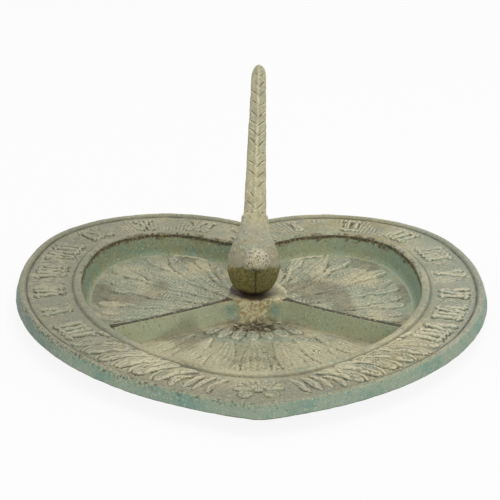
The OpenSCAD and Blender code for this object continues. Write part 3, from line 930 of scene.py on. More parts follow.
def ridge_parts():
    """Points, faces and dark crest of the closed ridge: hub and dividers, hollow over the hub's core; the
    crest's dark is partly paint, partly painted shadow.
    """
    P, ways, shares = ridge_start()
    n = len(P)
    rows, crests = [], []
    top_reach, foot_reach = divider_reach(0)
    levels = ridge_levels()
    for offset, z in levels:
        for _ in range(4):
            slope = ridge_slope(P)
            miss = ridge_gap(P) - offset
            P = P - slope * np.clip(miss / np.maximum((slope**2).sum(1), 0.2), -2, 2)[:, None]
        up = (z - FLOOR_T) / (DISH_H - FLOOR_T)
        r = np.hypot(*(P - RIDGE_SHIFT).T)
        height = z + DIVIDER_DROP * max(0, up) * smooth((HUB_R + 4 - r) / 4)
        rows.append(np.column_stack([P + ways * (shares * (top_reach - foot_reach) * up)[:, None], height]))
        # Where the crest is darkened: dark paint with painted shadow.
        crests.append(smooth((r - HUB_R - 2.5) / 4) * (z > DISH_H - 0.8))
    count = n * len(rows)
    faces = tube(0, len(rows), n)
    wall_r, roof_z = HUB_HOLLOW_R + 1, DISH_H - 1.2
    points = np.concatenate(rows + [circle(wall_r, rows[0][0, 2]), circle(wall_r, roof_z)])
    faces += between(points, [np.arange(count - n, count)], beyond(levels[-1][0]))
    outside, in_hollow = beyond(levels[0][0]), inside_hole(wall_r)
    faces += between(points, [np.arange(n), count + np.arange(HUB_SIDES)],
                     lambda x, y: in_hollow(x, y) or outside(x, y))
    faces += strip(count, count + HUB_SIDES, HUB_SIDES)
    faces.append(list(range(count + HUB_SIDES, count + 2 * HUB_SIDES)))
    return points, faces, np.concatenate(crests + [np.zeros(2 * HUB_SIDES)])


def mend_normals(obj):
    """Makes every face of the object look outwards."""
    bm = bmesh.new()
    bm.from_mesh(obj.data)
    bmesh.ops.recalc_face_normals(bm, faces=bm.faces)
    bm.to_mesh(obj.data)
    bm.free()


def join(objects, name):
    with bpy.context.temp_override(active_object=objects[0], selected_editable_objects=objects,
                                   selected_objects=objects):
        bpy.ops.object.join()
    objects[0].name = objects[0].data.name = name
    return objects[0]


def shade_smooth(obj):
    obj.data.polygons.foreach_set("use_smooth", [True] * len(obj.data.polygons))


BOX_GAP = np.array([0.02, 0.02, 0])
CASTING_NOISE = [(26, 0.22, 31), (9, 0.14, 32), (3.2, 0.10, 33), (1.5, 0.06, 34)]


def finish_casting(obj):
    """Casting texture, and the numbers that the paint follows."""
    mend_normals(obj)
    mesh = obj.data
    roughen(mesh, CASTING_NOISE)
    co = points_of(mesh)
    low, high = (np.array(corner) / MM - HUB_AT for corner in cad_box)
    move_points(mesh, np.clip(co, low + BOX_GAP, high - BOX_GAP))
    fine, broad = cavities(mesh, 5, 40)
    inset = read(mesh.attributes["inset"].data, "value", 1)[:, 0]
    keep(mesh, fine=fine, broad=broad, dirt=dirt_on_dish(co, inset))
    shade_smooth(obj)


def dirt_on_dish(co, inset):
    """Where the dish is darkened brown: dirt and painted shade under the bowl's bead, dirt in the grooves,
    the bird's painted shadow on the hub's top, and dirt at the hub's foot.
    """
    x, y, z = co.T
    from_bird = np.hypot(x - BIRD_SHIFT, y)
    x = x - RIDGE_SHIFT[0]
    ragged = 0.5 * noise(co, 8, 91) + 0.3 * noise(co, 2.4, 92)
    on_wall = (inset > FLANGE_W - 1) & (inset < 45) & (z > DISH_H - 5)
    # Partly painted shade and partly dirt: a dark line along the top of the bowl's wall just under its bead,
    # stronger at the back.
    line = on_wall * smooth((DISH_H - 0.8 - z) / 0.6) * smooth((z - DISH_H + 3.6 - 1.2 * ragged) / 1.2)
    line = line * (0.45 + 0.55 * smooth((y + 30) / 60))
    plan = np.column_stack([x, y])
    runs = on_wall * smooth((z - DISH_H + 7 - 4 * noise(plan, 9, 93)) / 4)
    runs = runs * smooth(0.2 + 1.5 * noise(co, 1.8, 99)) * (y > 20)
    on_band = (inset > 0) & (inset < FLANGE_W) & (z > UNDER_Z + 2)
    grooves = 0.75 * bell(inset, OUTER_BEAD_W + 0.6, 0.7) + 0.5 * bell(inset, BAND_INNER - 0.2, 0.7)
    on_hub = (inset > 55) & (np.hypot(x, y) < HUB_R + 6)
    # Painted shadow of the bird on the hub's top, darkest under its belly.
    bird_shadow = on_hub * smooth((z - DISH_H + 1.5) / 1) * smooth((17.5 - from_bird + 2 * ragged) / 4)
    foot = bell(x, 0, 17) * bell(y, -HUB_R - 9, 11) * smooth((8 - z) / 3)
    foot = foot * (0.8 + 0.8 * noise(co, 2.6, 95) + 0.9 * noise(co, 1.2, 98))
    patches = 0.35 * smooth((noise(co, 19, 94) - 0.25) / 0.4) * (inset > 45)
    total = np.maximum.reduce([line, 0.7 * runs, on_band * grooves, bird_shadow, 1.1 * foot, patches])
    return np.clip(total + 0.5 * ragged * total, 0, 1)


def gold_on_hub(co):
    """Where the hub's front is brushed with gold, as 1, and with blue green beside it, as -1."""
    x, y, z = co.T
    off = np.abs(x) + 1.6 * noise(co, 5, 96) + 0.8 * noise(co, 2, 97) + 1.5 * noise(co, 9, 100)
    rim = smooth((z - DISH_H + 4) / 3.5)
    gold = np.maximum(smooth((12 - off) / 7), 0.85 * rim * smooth((26 - off) / 12))
    teal = bell(off, 13.5, 4.5) * bell(z, 11.5, 4)
    return smooth((-y - 9) / 3) * (gold - teal)


def build_dish():
    dish = make_dish()
    points, faces, crests = ridge_parts()
    ridge = put_mesh("ridge", points, faces)
    from_hub = np.hypot(*(points[:, :2] - RIDGE_SHIFT).T)
    on_divider = smooth((from_hub - HUB_R - 1) / 6)
    keep(ridge.data, inset=HUB_MARK + (DIVIDER_MARK - HUB_MARK) * on_divider, crest=crests,
         gold=gold_on_hub(points))
    join([dish, ridge], "heart_casting")
    finish_casting(dish)
    return dish


# The bird

TAIL_TAPER_END = TAIL_REACH - TAIL_END_L
BIRD_UP = DISH_H + BODY_UP
BIRD_PLACE = np.array([0, -BODY_FORWARD, BIRD_UP])
TAIL_WAY = np.array([0, cosd(STYLE_ANGLE), sind(STYLE_ANGLE)])
BACK_WAY = np.array([0, -sind(STYLE_ANGLE), cosd(STYLE_ANGLE)])
HEAD_AT = BIRD_PLACE + BODY_R * np.array([0, -cosd(HEAD_RISE), sind(HEAD_RISE)]) + [HEAD_LEAN, 0, 0]
BEAK_WAY = np.array([0, -cosd(BEAK_DROP), -sind(BEAK_DROP)])
BEAK_UP = np.array([0, -sind(BEAK_DROP), cosd(BEAK_DROP)])
BEAK_Z = HEAD_AT[2] - 3.4
AHEAD = np.array([0, 1, 0])
BIRD_YAW = -2.6
BIRD_SHIFT = 0.5
NECK_STEPS = 6
WING_L = 36
WING_H = 18
WING_T = 7
WING_PROUD = 0.8
EYE_AT = (6.2, 1.2, 2.4)
FOOT_PROFILE = [(FOOT_R, DISH_H), (FOOT_R, DISH_H + 2), (FOOT_R + 1.5, DISH_H + 6), (FOOT_R, BIRD_UP - 6)]
CHEVRON = 7.2


def swell(t, root, tip):
    """Half width or half depth of the bird along its axis."""
    if t < 0:
        return math.sqrt(max(BODY_R**2 - t**2, 0))
    if t <= TAIL_ROOT:
        return root + RUMP_STEP + (BODY_R - root - RUMP_STEP) * (1 + math.cos(math.pi * t / TAIL_ROOT)) / 2
    if t < TAIL_TAPER_END:
        return root + (tip - root) * (t - TAIL_ROOT) / (TAIL_TAPER_END - TAIL_ROOT)
    share = min((t - TAIL_TAPER_END) / (TAIL_END_L - TAIL_SHORT), 1)
    return tip * (1 - share**2.4) ** (1 / 2.2)


def half_width(t):
    return swell(t, TAIL_ROOT_W / 2, TAIL_TIP_W / 2)


def half_depth(t):
    return swell(t, TAIL_ROOT_D / 2, TAIL_TIP_D / 2)


def loft(name, rows):
    """A closed object through rows of points."""
    n, count = len(rows[0]), len(rows)
    faces = tube(0, count, n) + [list(range(n)), list(range((count - 1) * n, count * n))[::-1]]
    obj = put_mesh(name, np.concatenate(rows), faces)
    mend_normals(obj)
    return obj


def ring(centre, across, half_w, half_d, sides):
    """Points of an ellipse about a centre: half_w along X, half_d along across."""
    a = 2 * np.pi * np.arange(sides) / sides
    return centre + np.outer(half_w * np.cos(a), [1, 0, 0]) + np.outer(half_d * np.sin(a), across)


def ball(name, centre, radii):
    """A closed egg shape."""
    rows = []
    for k in range(1, BALL_STEPS):
        a = math.pi * k / BALL_STEPS
        row = ring(np.array([0, 0, -math.cos(a)]) * radii[2], AHEAD, radii[0] * math.sin(a),
                   radii[1] * math.sin(a), BALL_SIDES)
        rows.append(row + centre)
    return loft(name, rows)


def body():
    """Body, rump and tail, along the style."""
    stations = np.concatenate([
        -BODY_R * np.cos(np.linspace(0.02, 0.5, 14) * np.pi),
        np.linspace(1, TAIL_ROOT, 22),
        np.linspace(TAIL_ROOT + 0.8, TAIL_TAPER_END, 60),
        TAIL_TAPER_END + (TAIL_END_L - TAIL_SHORT) * np.sin(np.linspace(5, 86, 12) * np.pi / 180),
    ])
    return loft("bird_body", [
        ring(BIRD_PLACE + t * TAIL_WAY, BACK_WAY, half_width(t), half_depth(t), BODY_SIDES)
        for t in stations])


def neck(k):
    """One of the balls on the way from the head to the body."""
    share = k / NECK_STEPS
    r = HEAD_R + (0.74 * BODY_R - HEAD_R) * share
    at = HEAD_AT + (BIRD_PLACE + np.array([0, -0.2, -0.1]) * BODY_R - HEAD_AT) * share
    return ball(f"bird_neck_{k}", at, (r, r, r))


def beak():
    rows = []
    for share in np.arange(BEAK_STEPS + 1) / BEAK_STEPS:
        r = 0.8 * BEAK_R * (1 - share) ** 0.7 + BEAK_R / 5
        rows.append(ring(HEAD_AT + BEAK_WAY * BEAK_L * share, BEAK_UP, r, r * 0.9, BEAK_SIDES))
    return loft("bird_beak", rows)


def wing(side):
    """A folded wing as a flat leaf along the flank, pointing at the tail."""
    front = -0.4 * BODY_R
    lean = math.asin((BODY_R - half_width(front + WING_L)) / WING_L)
    root = BIRD_PLACE + front * TAIL_WAY + np.array([BODY_R + WING_PROUD - WING_T / 2, 0, 0])
    way = TAIL_WAY * math.cos(lean) - np.array([math.sin(lean), 0, 0])
    out = np.array([math.cos(lean), 0, 0]) + TAIL_WAY * math.sin(lean)
    a = 2 * np.pi * np.arange(WING_SIDES) / WING_SIDES
    rows = []
    for k in range(WING_STEPS + 1):
        s = sind(88 * (2 * k / WING_STEPS - 1))
        fat = math.sqrt(1 - s * s) * (1 - 0.35 * s)
        row = root + way * WING_L * (1 + s) / 2 + np.outer(WING_T / 2 * fat * np.cos(a), out)
        rows.append((row + np.outer(WING_H / 2 * fat * np.sin(a), BACK_WAY)) * [side, 1, 1])
    return loft("bird_wing", rows)


def build_bird():
    parts = [body(), ball("bird_belly", BIRD_PLACE + [0, -0.8, -4.4], (15, 13.5, 12.9)),
             ball("bird_head", HEAD_AT, (HEAD_R, HEAD_R, HEAD_R))]
    parts += [neck(k) for k in range(1, NECK_STEPS)]
    parts += [beak(), wing(1), wing(-1)]
    foot = [ring(np.array([0, 0, z]), AHEAD, r, r, FOOT_SIDES) for r, z in FOOT_PROFILE]
    parts.append(loft("bird_foot", foot))
    bird = join(parts, "bird_style")
    melt(bird)
    carve_bird(bird)
    return bird


def melt(obj):
    """Joins overlapping closed shapes into one skin and softens it."""
    remesh = obj.modifiers.new("join", "REMESH")
    remesh.mode = "VOXEL"
    remesh.voxel_size = BIRD_VOXEL * MM
    soften = obj.modifiers.new("soften", "SMOOTH")
    soften.factor = 0.5
    soften.iterations = 5
    bpy.context.view_layer.update()
    made = bpy.data.meshes.new_from_object(obj.evaluated_get(bpy.context.evaluated_depsgraph_get()))
    obj.modifiers.clear()
    old = obj.data
    obj.data = made
    bpy.data.meshes.remove(old)


def tail_push(co, t, x, facing_back):
    """Worn feather barbs along the tail, with a low ridge."""
    half = np.array([half_width(v) for v in np.clip(t, 0, TAIL_REACH - TAIL_SHORT)])
    edge = smooth((half - np.abs(x)) / 1.5)
    phase = (t - np.abs(x)) / CHEVRON + 0.22 * noise(co, 6, 41) + 0.1 * np.sign(x)
    saw = phase - np.floor(phase)
    barbs = (0.55 * saw**1.5 - 0.2) * (0.55 + 0.6 * noise(co, 5, 43))
    ridge = 0.35 * bell(x, 0, 0.8) - 0.25 * bell(np.abs(x), 2, 0.8)
    cuts = 0.75 * bell(saw, 0.06, 0.07) * bell(np.abs(x), 3, 1.9) * smooth(noise(co, 4, 48) + 0.6)
    return facing_back * edge * (barbs + ridge - cuts) + (1 - facing_back) * 0.3 * edge * barbs


def distance(co, place):
    return np.sqrt(((co - place) ** 2).sum(1))


def carve_bird(obj):
    """Feathers on the tail, a rough back and crown, a seam down the breast and the eyes."""
    mesh = obj.data
    co, normals = points_of(mesh), normals_of(mesh)
    rel, z = co - BIRD_PLACE, co[:, 2]
    t, x = rel @ TAIL_WAY, rel[:, 0]
    facing_back = smooth(normals @ BACK_WAY / 0.5 + 0.3)
    on_tail = smooth((t - TAIL_ROOT + 1) / 3)
    push = on_tail * tail_push(co, t, x, facing_back)
    on_body = (1 - on_tail) * facing_back * smooth((t + 2) / 6)
    push += on_body * (0.3 * noise(co, 3.2, 42) + 0.25 * noise(co, 1.6, 49))
    # The breast mask, below a line from the beak out to the flanks, carries olive paint and painted shade.
    border = BEAK_Z + 0.4 - 0.035 * np.clip(np.abs(x - HEAD_LEAN / 2) - 5, 0, None) ** 2
    front = smooth((5 - rel[:, 1]) / 5)
    breast = front * smooth((border - z + 1.1 * noise(co, 2.8, 40) + noise(co, 1.3, 39)) / 2)
    from_seam = x - HEAD_LEAN * 0.7
    seam = bell(from_seam, 0, 0.5) * breast
    push -= 0.5 * seam
    crown = smooth((HEAD_R + 1.6 - distance(co, HEAD_AT)) / 1.2) * smooth((z - BEAK_Z) / 1.5)
    push += crown * (0.3 * noise(co, 1.3, 44) + 0.2 * noise(co, 2.1, 50))
    eyes = np.zeros(len(co))
    for side in (1, -1):
        d = distance(co, HEAD_AT + np.array(EYE_AT) * [side, 1, 1])
        push += 0.25 * bell(d, 2.2, 0.6) - 0.4 * bell(d, 0, 1.1)
        eyes = np.maximum(eyes, bell(d, 0, 1.3))
    # Painted shade at the beak: its tip and the throat just under it are darkened.
    beak_shade = bell(distance(co, HEAD_AT + [0, 0.5 - BEAK_L, -2.4]), 0, 2.6)
    beak_shade += bell(from_seam, 0, 2.4) * bell(z, BEAK_Z, 1.4) * (rel[:, 1] < -8)
    # Painted shade under the bird: the belly's underside and the foot are darkened.
    under = smooth((BIRD_UP - 11.5 - z) / 3)
    move_points(mesh, co + normals * push[:, None])
    roughen(mesh, [(9, 0.15, 45), (2.6, 0.14, 46), (1.3, 0.12, 47)])
    turn = np.array(Matrix.Rotation(math.radians(BIRD_YAW), 3, "Z"))
    move_points(mesh, points_of(mesh) @ turn.T + [BIRD_SHIFT, 0, 0])
    # dirt holds the dark seam and eyes together with this painted shade.
    keep(mesh, fine=cavities(mesh, 4)[0], breast=breast, crown=crown,
         dirt=np.clip(0.8 * seam + 0.8 * eyes + beak_shade + under, 0, 1))
    shade_smooth(obj)


# Materials

def linear(r, g, b):
    """A colour given as it looks on a screen, 0 to 255, as the shader's linear one."""
    def one(v):
        v = v / 255
        return v / 12.92 if v <= 0.04045 else ((v + 0.055) / 1.055) ** 2.4
    return (one(r), one(g), one(b), 1.0)


class Value:
    """A number in a node tree, whose arithmetic adds nodes."""

    def __init__(self, shader, socket):
        self.shader = shader
        self.socket = socket

    def __add__(self, other):
        return self.shader.calc("ADD", self, other)

    def __mul__(self, other):
        return self.shader.calc("MULTIPLY", self, other)

    def __sub__(self, other):
        return self.shader.calc("SUBTRACT", self, other)

    def __rsub__(self, other):
        return self.shader.calc("SUBTRACT", other, self)

    def larger(self, other):
        return self.shader.calc("MAXIMUM", self, other)

    def rise(self, low, high):
        """0 below low, 1 above high, soft between; low may be above high."""
        made = self.shader.put("ShaderNodeMapRange", {"Value": self, "From Min": low, "From Max": high},
                               interpolation_type="SMOOTHSTEP")
        return Value(self.shader, made.outputs["Result"])


class Shader:
    """The node tree of a material or a world, with short calls for what the finishes need."""

    def __init__(self, owner):
        owner.use_nodes = True
        self.owner = owner
        self.tree = owner.node_tree
        self.tree.nodes.clear()

    def put(self, kind, inputs=None, **settings):
        made = self.tree.nodes.new(kind)
        for key, value in settings.items():
            setattr(made, key, value)
        for key, value in (inputs or {}).items():
            value = value.socket if isinstance(value, Value) else value
            if isinstance(value, bpy.types.NodeSocket):
                self.tree.links.new(value, made.inputs[key])
            else:
                made.inputs[key].default_value = value
        return made

    def place(self):
        return self.put("ShaderNodeTexCoord").outputs["Object"]

    def parts(self, vector):
        """X, Y and Z of a vector."""
        return [Value(self, part) for part in self.put("ShaderNodeSeparateXYZ", {"Vector": vector}).outputs]

    def attribute(self, name):
        return Value(self, self.put("ShaderNodeAttribute", attribute_name=name).outputs["Fac"])

    def noise(self, size, detail, rough, seed, stretch=(1, 1, 1)):
        """Noise about 0.5, with blotches of the given size in millimetres."""
        moved = self.put("ShaderNodeMapping", {
            "Vector": self.place(), "Location": (seed, seed * 0.37, seed * 0.61), "Scale": stretch})
        made = self.put("ShaderNodeTexNoise", {"Vector": moved.outputs["Vector"], "Scale": 1000 / size,
                                               "Detail": detail, "Roughness": rough})
        return Value(self, made.outputs["Fac"])

    def calc(self, operation, a, b=0.0):
        return Value(self, self.put("ShaderNodeMath", {0: a, 1: b}, operation=operation).outputs[0])

    def paint(self, color, *coats):
        """A colour under coats, each given as its share and its colour."""
        for share, coat in coats:
            color = self.put("ShaderNodeMix", {0: share, 6: color, 7: coat}, data_type="RGBA").outputs[2]
        return color

    def seen(self):
        """1 for rays that show the surface to the camera, 0 for those that light the object."""
        path = self.put("ShaderNodeLightPath").outputs
        kinds = ("Camera", "Glossy", "Transmission")
        camera, glossy, through = (Value(self, path[f"Is {kind} Ray"]) for kind in kinds)
        return camera.larger(glossy).larger(through)

    def close(self, color, roughness, bump, distance, metallic=0.0):
        bumped = self.put("ShaderNodeBump", {"Height": bump, "Strength": 1.0, "Distance": distance})
        shader = self.put("ShaderNodeBsdfPrincipled", {
            "Base Color": color, "Roughness": roughness, "Metallic": metallic,
            "Specular IOR Level": 0.35, "Normal": bumped.outputs["Normal"]})
        self.put("ShaderNodeOutputMaterial", {"Surface": shader.outputs["BSDF"]})
        return self.owner


DARK = linear(58, 48, 30)
DARK_GREEN = linear(84, 92, 70)
WALL_GREEN = linear(142, 150, 116)
BLUE_GREEN = linear(122, 152, 136)
SKIRT_GREEN = linear(146, 162, 142)
KHAKI = linear(152, 146, 112)
GREY_GREEN = linear(146, 152, 128)
BEIGE = linear(188, 180, 146)
PALE = linear(222, 214, 182)
OCHRE = linear(176, 150, 98)
TAN = linear(196, 180, 136)
PURPLE_GREY = linear(128, 122, 118)
OLIVE = linear(120, 114, 62)
LEFT_GREY = linear(136, 137, 119)
SKIRT_GREY = linear(114, 130, 122)
SEA_GREEN = linear(128, 158, 142)
FACE_GREEN = linear(190, 194, 160)
RIGHT_GREY = linear(146, 154, 142)
INK = linear(44, 36, 22)
CROWN_DARK = linear(96, 88, 72)
GOLD = linear(214, 204, 162)
BIRD_GREY = linear(150, 148, 130)
RUSTY = linear(136, 112, 62)


def cast_shader(name, grain, speck, patch, blotch, seed):
    """A shader with what both castings' paint follows; the four sizes are in millimetres."""
    s = Shader(bpy.data.materials.new(name))
    s.grain = s.noise(grain, 3, 0.65, seed + 1)
    s.speck = s.noise(speck, 4, 0.65, seed + 3)
    s.patch = s.noise(patch, 4, 0.6, seed + 4)
    s.blotch = s.noise(blotch, 4, 0.6, seed + 5)
    s.x, s.y, s.z = s.parts(s.place())
    s.up = s.parts(s.put("ShaderNodeNewGeometry").outputs["Normal"])[2]
    s.fine = s.attribute("fine")
    # The attribute dirt holds real dirt together with painted shade and painted shadow.
    s.dirt = s.attribute("dirt") * (s.speck + 0.55)
    return s


def speckled(s, color, flecks, pits):
    """Pale flecks and dark pits of a millimetre or two over a colour."""
    return s.paint(color, (s.noise(1.4, 3, 0.7, 41).rise(0.57, 0.69) * flecks, PALE),
                   (s.grain.rise(0.43, 0.31) * pits, DARK))


def close_casting(s, color, bump_seed, bump_m):
    bump = s.grain * 0.7 + s.noise(0.7, 2, 0.5, bump_seed)
    return s.close(color, s.speck * 0.2 + 0.6, bump, bump_m)


def side_paint(s):
    """Walls, dividers, hub and skirt."""
    face = s.inset.rise(HUB_MARK, DIVIDER_MARK) * (0.75 - s.x.rise(0, 0.03) * 0.35)
    walls = s.paint(
        WALL_GREEN,
        (s.blotch.rise(0.42, 0.64) * 0.65, BLUE_GREEN),
        (s.x.rise(0.01, 0.03) * 0.2, FACE_GREEN),
        (s.x.rise(0.07, 0.10) * 0.6, SEA_GREEN),
        (s.x.rise(-0.05, -0.09) * 0.2, DARK_GREEN),
        (s.patch.rise(0.50, 0.66) * 0.4, KHAKI),
        (s.grain.rise(0.56, 0.68) * 0.3, TAN),
        (face, FACE_GREEN))
    skirt = s.paint(
        SKIRT_GREEN,
        (s.blotch.rise(0.44, 0.62), BLUE_GREEN),
        (s.patch.rise(0.5, 0.64) * 0.3, GREY_GREEN),
        (s.speck.rise(0.55, 0.7) * 0.3, BEIGE),
        (s.x.rise(-0.10, -0.135) * 0.7, SKIRT_GREY))
    on_hub = s.inset.rise(56, 60) * s.inset.rise(68, 61)
    return s.paint(walls, (s.inset.rise(1.2, -0.4), skirt), (on_hub * 0.25, TAN))


def top_paint(s):
    """The flange and the floor."""
    flange = s.paint(
        GREY_GREEN,
        (s.blotch.rise(0.36, 0.60), KHAKI),
        (s.cloud.rise(0.42, 0.64) * 0.8, BEIGE),
        (s.noise(12, 4, 0.6, 12).rise(0.54, 0.68) * 0.5, PURPLE_GREY),
        (s.patch.rise(0.53, 0.68) * 0.6, BEIGE),
        (s.noise(9, 4, 0.6, 14).rise(0.56, 0.68) * 0.5, BLUE_GREEN),
        (s.x.rise(0.09, 0.12) * 0.6, RIGHT_GREY),
        (s.shade * s.patch.rise(0.20, 0.58), LEFT_GREY))
    front = s.y.rise(-0.030, -0.040)
    aside = s.calc("ABSOLUTE", s.x).rise(0.008, 0.026)
    floor = s.paint(
        GREY_GREEN,
        (s.blotch.rise(0.44, 0.64), BEIGE),
        (s.cloud.rise(0.46, 0.62) * 0.4, SKIRT_GREEN),
        (s.noise(14, 4, 0.6, 13).rise(0.53, 0.68) * 0.5, PURPLE_GREY),
        (s.patch.rise(0.52, 0.66) * 0.35, BEIGE),
        (s.left * 0.3, LEFT_GREY),
        (front * (aside * 0.7), BEIGE),
        (front * ((1.0 - aside) * 0.6), KHAKI))
    return s.paint(flange, (s.inset.rise(43, 45) * s.inset.rise(58, 54), floor))


def dish_wear(s, color):
    """Brushed crests, dark hollows, and the pale line at the walls' foot."""
    brushed = (s.fine + s.grain * 0.12).rise(0.08, 0.22) * s.up.rise(-0.1, 0.5)
    hollow = (s.fine + s.speck * 0.12).rise(0.02, -0.12) * s.inset.rise(58, 52)
    foot_line = s.inset.rise(42.6, 43.6) * s.inset.rise(48, 45.5) * s.patch.rise(0.36, 0.5)
    ridge_foot = s.z.rise(0.0066, 0.0048) * s.inset.rise(55, 60)
    return s.paint(
        color,
        (brushed * (0.75 - s.shade * 0.42), PALE),
        (hollow * s.patch.rise(0.40, 0.56) * 0.75, DARK),
        (foot_line * 0.5, BEIGE),
        (ridge_foot * 0.6, KHAKI),
        (s.attribute("broad").rise(-0.25, -1.1) * 0.3, DARK_GREEN))


def hub_paint(s, color):
    """Gold and blue green on the hub's front, and the dividers' dark crests, partly dark paint and partly
    painted shadow.
    """
    gold = s.attribute("gold")
    golden = s.paint(OCHRE, (s.speck.rise(0.38, 0.52), GOLD))
    pits = gold.rise(0.3, 0.8) * s.noise(1.1, 3, 0.65, 17).rise(0.43, 0.36)
    # Dark paint with painted shadow along the dividers' crests.
    crest = s.attribute("crest").rise(0.3, 0.6) * s.speck.rise(0.34, 0.42)
    return s.paint(
        color,
        (gold.rise(-0.05, -0.9) * 0.7, BLUE_GREEN),
        ((gold + s.grain * 3.0).rise(1.75, 2.35) * gold.rise(0.0, 0.3), golden),
        (pits * 0.8, DARK),
        (crest * 0.9, INK))


def casting_finish():
    s = cast_shader("verdigris_dish", 1.3, 2.8, 6.5, 17, 2)
    s.inset = s.attribute("inset")
    s.cloud = s.noise(44, 3, 0.5, 9)
    s.left = (s.x + s.cloud * 0.08).rise(0.02, -0.07)
    back = s.y.rise(0.08, 0.12) * s.x.rise(0.02, -0.03)
    s.shade = s.left.larger(s.y.rise(-0.105, -0.135) * 0.8).larger(back * 0.5)
    flat = (s.up + s.speck * 0.3).rise(0.72, 1.02)
    bowl_wall = s.inset.rise(38.2, 38.8) * s.inset.rise(44.6, 43.8)
    color = s.paint(side_paint(s), (flat * (1.0 - bowl_wall), top_paint(s)))
    color = speckled(s, hub_paint(s, dish_wear(s, color)), 0.55, 0.55)
    edge = s.inset.rise(-1.0, 0.0) * s.inset.rise(2.4, 1.2) * (s.x.rise(0.03, -0.03) * s.y.rise(0.03, -0.03))
    edge = edge * (s.patch.rise(0.30, 0.55) * 0.8)
    fleck = s.noise(1.6, 3, 0.65, 18)
    stain = s.dirt.rise(0.2, 0.5) * s.noise(1.5, 3, 0.65, 16).rise(0.52, 0.62)
    stain = stain * (s.inset.rise(35, 37) * s.inset.rise(58, 40))
    color = s.paint(
        color,
        (edge * fleck.rise(0.56, 0.64), TAN),
        (edge * fleck.rise(0.46, 0.39), DARK),
        # Dark where dirt and painted shade lie.
        (s.calc("MINIMUM", s.dirt, 0.92), DARK),
        (stain * 0.6, OCHRE),
        # Painted shade: faces that look downwards are darkened to dark green.
        (s.up.rise(-0.15, -0.45), DARK_GREEN))
    return close_casting(s, color, 15, 0.00022)


def bird_finish():
    s = cast_shader("verdigris_bird", 1.2, 2.4, 6, 13, 22)
    band = s.z.rise(0.047, 0.051) * s.z.rise(0.060, 0.054)
    brushed = (s.fine + s.grain * 0.12).rise(0.06, 0.18)
    crown = s.attribute("crown")
    tuft = s.noise(0.9, 3, 0.65, 24)
    color = s.paint(
        BIRD_GREY,
        (s.blotch.rise(0.38, 0.62), KHAKI),
        (s.z.rise(0.046, 0.068) * s.patch.rise(0.2, 0.5), BEIGE),
        (s.z.rise(0.075, 0.1) * 0.35, GREY_GREEN),
        (band * 0.6 * s.patch.rise(0.44, 0.58), SKIRT_GREEN),
        (s.speck.rise(0.52, 0.64) * 0.3, TAN),
        (s.speck.rise(0.46, 0.36) * 0.35, PURPLE_GREY),
        (brushed * (s.patch.rise(0.42, 0.58) * 0.6 + 0.2), PALE),
        ((s.fine + s.speck * 0.10).rise(0.02, -0.08) * 0.75, DARK),
        (crown * 0.6 * tuft.rise(0.38, 0.50), PALE),
        (crown * 0.9 * tuft.rise(0.49, 0.42), CROWN_DARK))
    # Olive on the breast: partly the casting's own paint, partly painted shade under the head.
    shaded_olive = s.paint(
        OLIVE,
        (s.blotch.rise(0.45, 0.65) * 0.4, RUSTY),
        (s.speck.rise(0.52, 0.62) * 0.5, KHAKI),
        (s.grain.rise(0.50, 0.40) * 0.58, DARK))
    breast = s.attribute("breast") + (s.grain - 0.5) * 1.5
    color = s.paint(
        speckled(s, color, 0.5, 0.4),
        (breast.rise(0.35, 0.65), shaded_olive),
        # Dark where dirt and painted shade lie.
        (s.calc("MINIMUM", s.dirt, 0.92), DARK),
        # Painted shade: faces that look downwards are darkened.
        (s.up.rise(-0.55, -0.8), DARK))
    return close_casting(s, color, 29, 0.0002)


def steel_finish():
    s = Shader(bpy.data.materials.new("zinc_steel"))
    scratch = s.noise(0.8, 3, 0.6, 31, (1, 6, 1))
    color = s.paint(
        linear(168, 168, 164),
        (scratch.rise(0.35, 0.65), linear(196, 196, 192)),
        (s.noise(3, 3, 0.6, 33).rise(0.55, 0.7) * 0.5, linear(140, 128, 104)))
    return s.close(color, scratch * 0.3 + 0.25, scratch, 0.00005, metallic=0.9)


def assign(obj, material):
    obj.data.materials.clear()
    obj.data.materials.append(material)


# Camera, floor and light

CAMERA_AT = (-36.4, -1220.3, 511.7)
CAMERA_PITCH = 0.362
CAMERA_TURN = 0.028
CAMERA_ROLL = 0.015
FOCAL_PX = 2174.9
IMAGE_PX = 500
SENSOR_W = 36
FLOOR_HALF_W = 6
FLOOR_WHITE = 0.9
FLOOR_COLOR = (0.86, 0.86, 0.85, 1)
AMBIENT = 0.62
AIM = Vector((0, 0, 0.02))

# Lamps: name, place, width in metres, power in watts
LAMPS = [
    ("overhead", (0.35, 0.1, 1.5), 1.0, 7.5),
    ("front", (0.3, -1.5, 0.9), 1.0, 5.0),
]


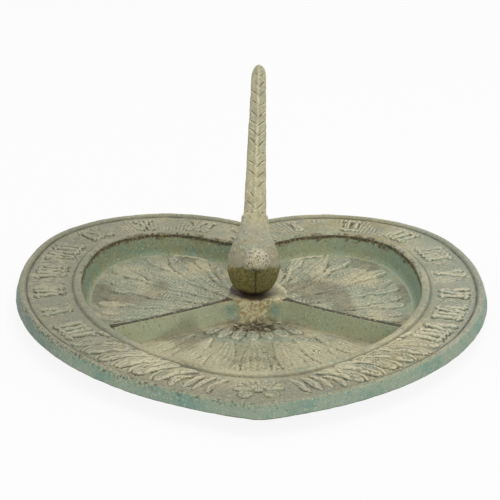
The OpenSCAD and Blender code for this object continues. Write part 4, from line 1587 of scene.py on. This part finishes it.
def make_camera():
    """The photograph's viewpoint: pitch down, turn to the right and roll, in radians."""
    p, a, r = CAMERA_PITCH, CAMERA_TURN, CAMERA_ROLL
    ahead = Vector((math.sin(a) * math.cos(p), math.cos(a) * math.cos(p), -math.sin(p)))
    flat_right = Vector((math.cos(a), -math.sin(a), 0))
    flat_up = flat_right.cross(ahead)
    right = flat_right * math.cos(r) + flat_up * math.sin(r)
    up = flat_up * math.cos(r) - flat_right * math.sin(r)
    data = bpy.data.cameras.new("camera")
    data.sensor_width = SENSOR_W
    data.lens = FOCAL_PX / IMAGE_PX * SENSOR_W
    data.clip_start = 0.05
    data.clip_end = 50
    camera = put_object("camera", data)
    turn = Matrix((right, up, -ahead)).transposed().to_4x4()
    camera.matrix_world = Matrix.Translation(Vector(CAMERA_AT) * MM) @ turn
    bpy.context.scene.camera = camera


def make_floor():
    """A wide pale floor that the camera sees as white, with the object's soft shadow on it."""
    w = FLOOR_HALF_W
    mesh = bpy.data.meshes.new("floor")
    mesh.from_pydata([(-w, -w, 0), (w, -w, 0), (w, w, 0), (-w, w, 0)], [], [(0, 1, 2, 3)])
    floor = put_object("floor", mesh)
    s = Shader(bpy.data.materials.new("floor"))
    diffuse = s.put("ShaderNodeBsdfDiffuse", {"Color": FLOOR_COLOR})
    white = s.put("ShaderNodeEmission", {"Color": (1, 1, 1, 1), "Strength": 1.0})
    shader = s.put("ShaderNodeMixShader", {
        0: s.seen() * FLOOR_WHITE, 1: diffuse.outputs[0], 2: white.outputs[0]})
    s.put("ShaderNodeOutputMaterial", {"Surface": shader.outputs[0]})
    assign(floor, s.owner)


def make_world():
    """White where it is seen, and dimmer where it lights the object."""
    s = Shader(bpy.data.worlds.new("studio"))
    strength = s.put("ShaderNodeMapRange", {"Value": s.seen(), "To Min": AMBIENT, "To Max": 1.0})
    background = s.put("ShaderNodeBackground", {
        "Color": (1, 1, 1, 1), "Strength": strength.outputs["Result"]})
    s.put("ShaderNodeOutputWorld", {"Surface": background.outputs[0]})
    bpy.context.scene.world = s.owner


def make_lamps():
    for name, place, size, power in LAMPS:
        data = bpy.data.lights.new(name, "AREA")
        data.size = size
        data.energy = power
        lamp = put_object(name, data)
        lamp.location = place
        lamp.rotation_mode = "QUATERNION"
        lamp.rotation_quaternion = (AIM - Vector(place)).to_track_quat("-Z", "Y")


def main():
    make_camera()
    make_floor()
    make_world()
    make_lamps()
    bpy.context.scene.view_settings.view_transform = "Standard"

    dish = build_dish()
    assign(dish, casting_finish())
    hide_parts("heart_dish")
    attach(dish, "root")

    bird = build_bird()
    assign(bird, bird_finish())
    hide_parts("bird_gnomon")
    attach(bird, "root")

    steel = steel_finish()
    for name in ("fixing_screw", "washer"):
        assign(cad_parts[name], steel)


main()
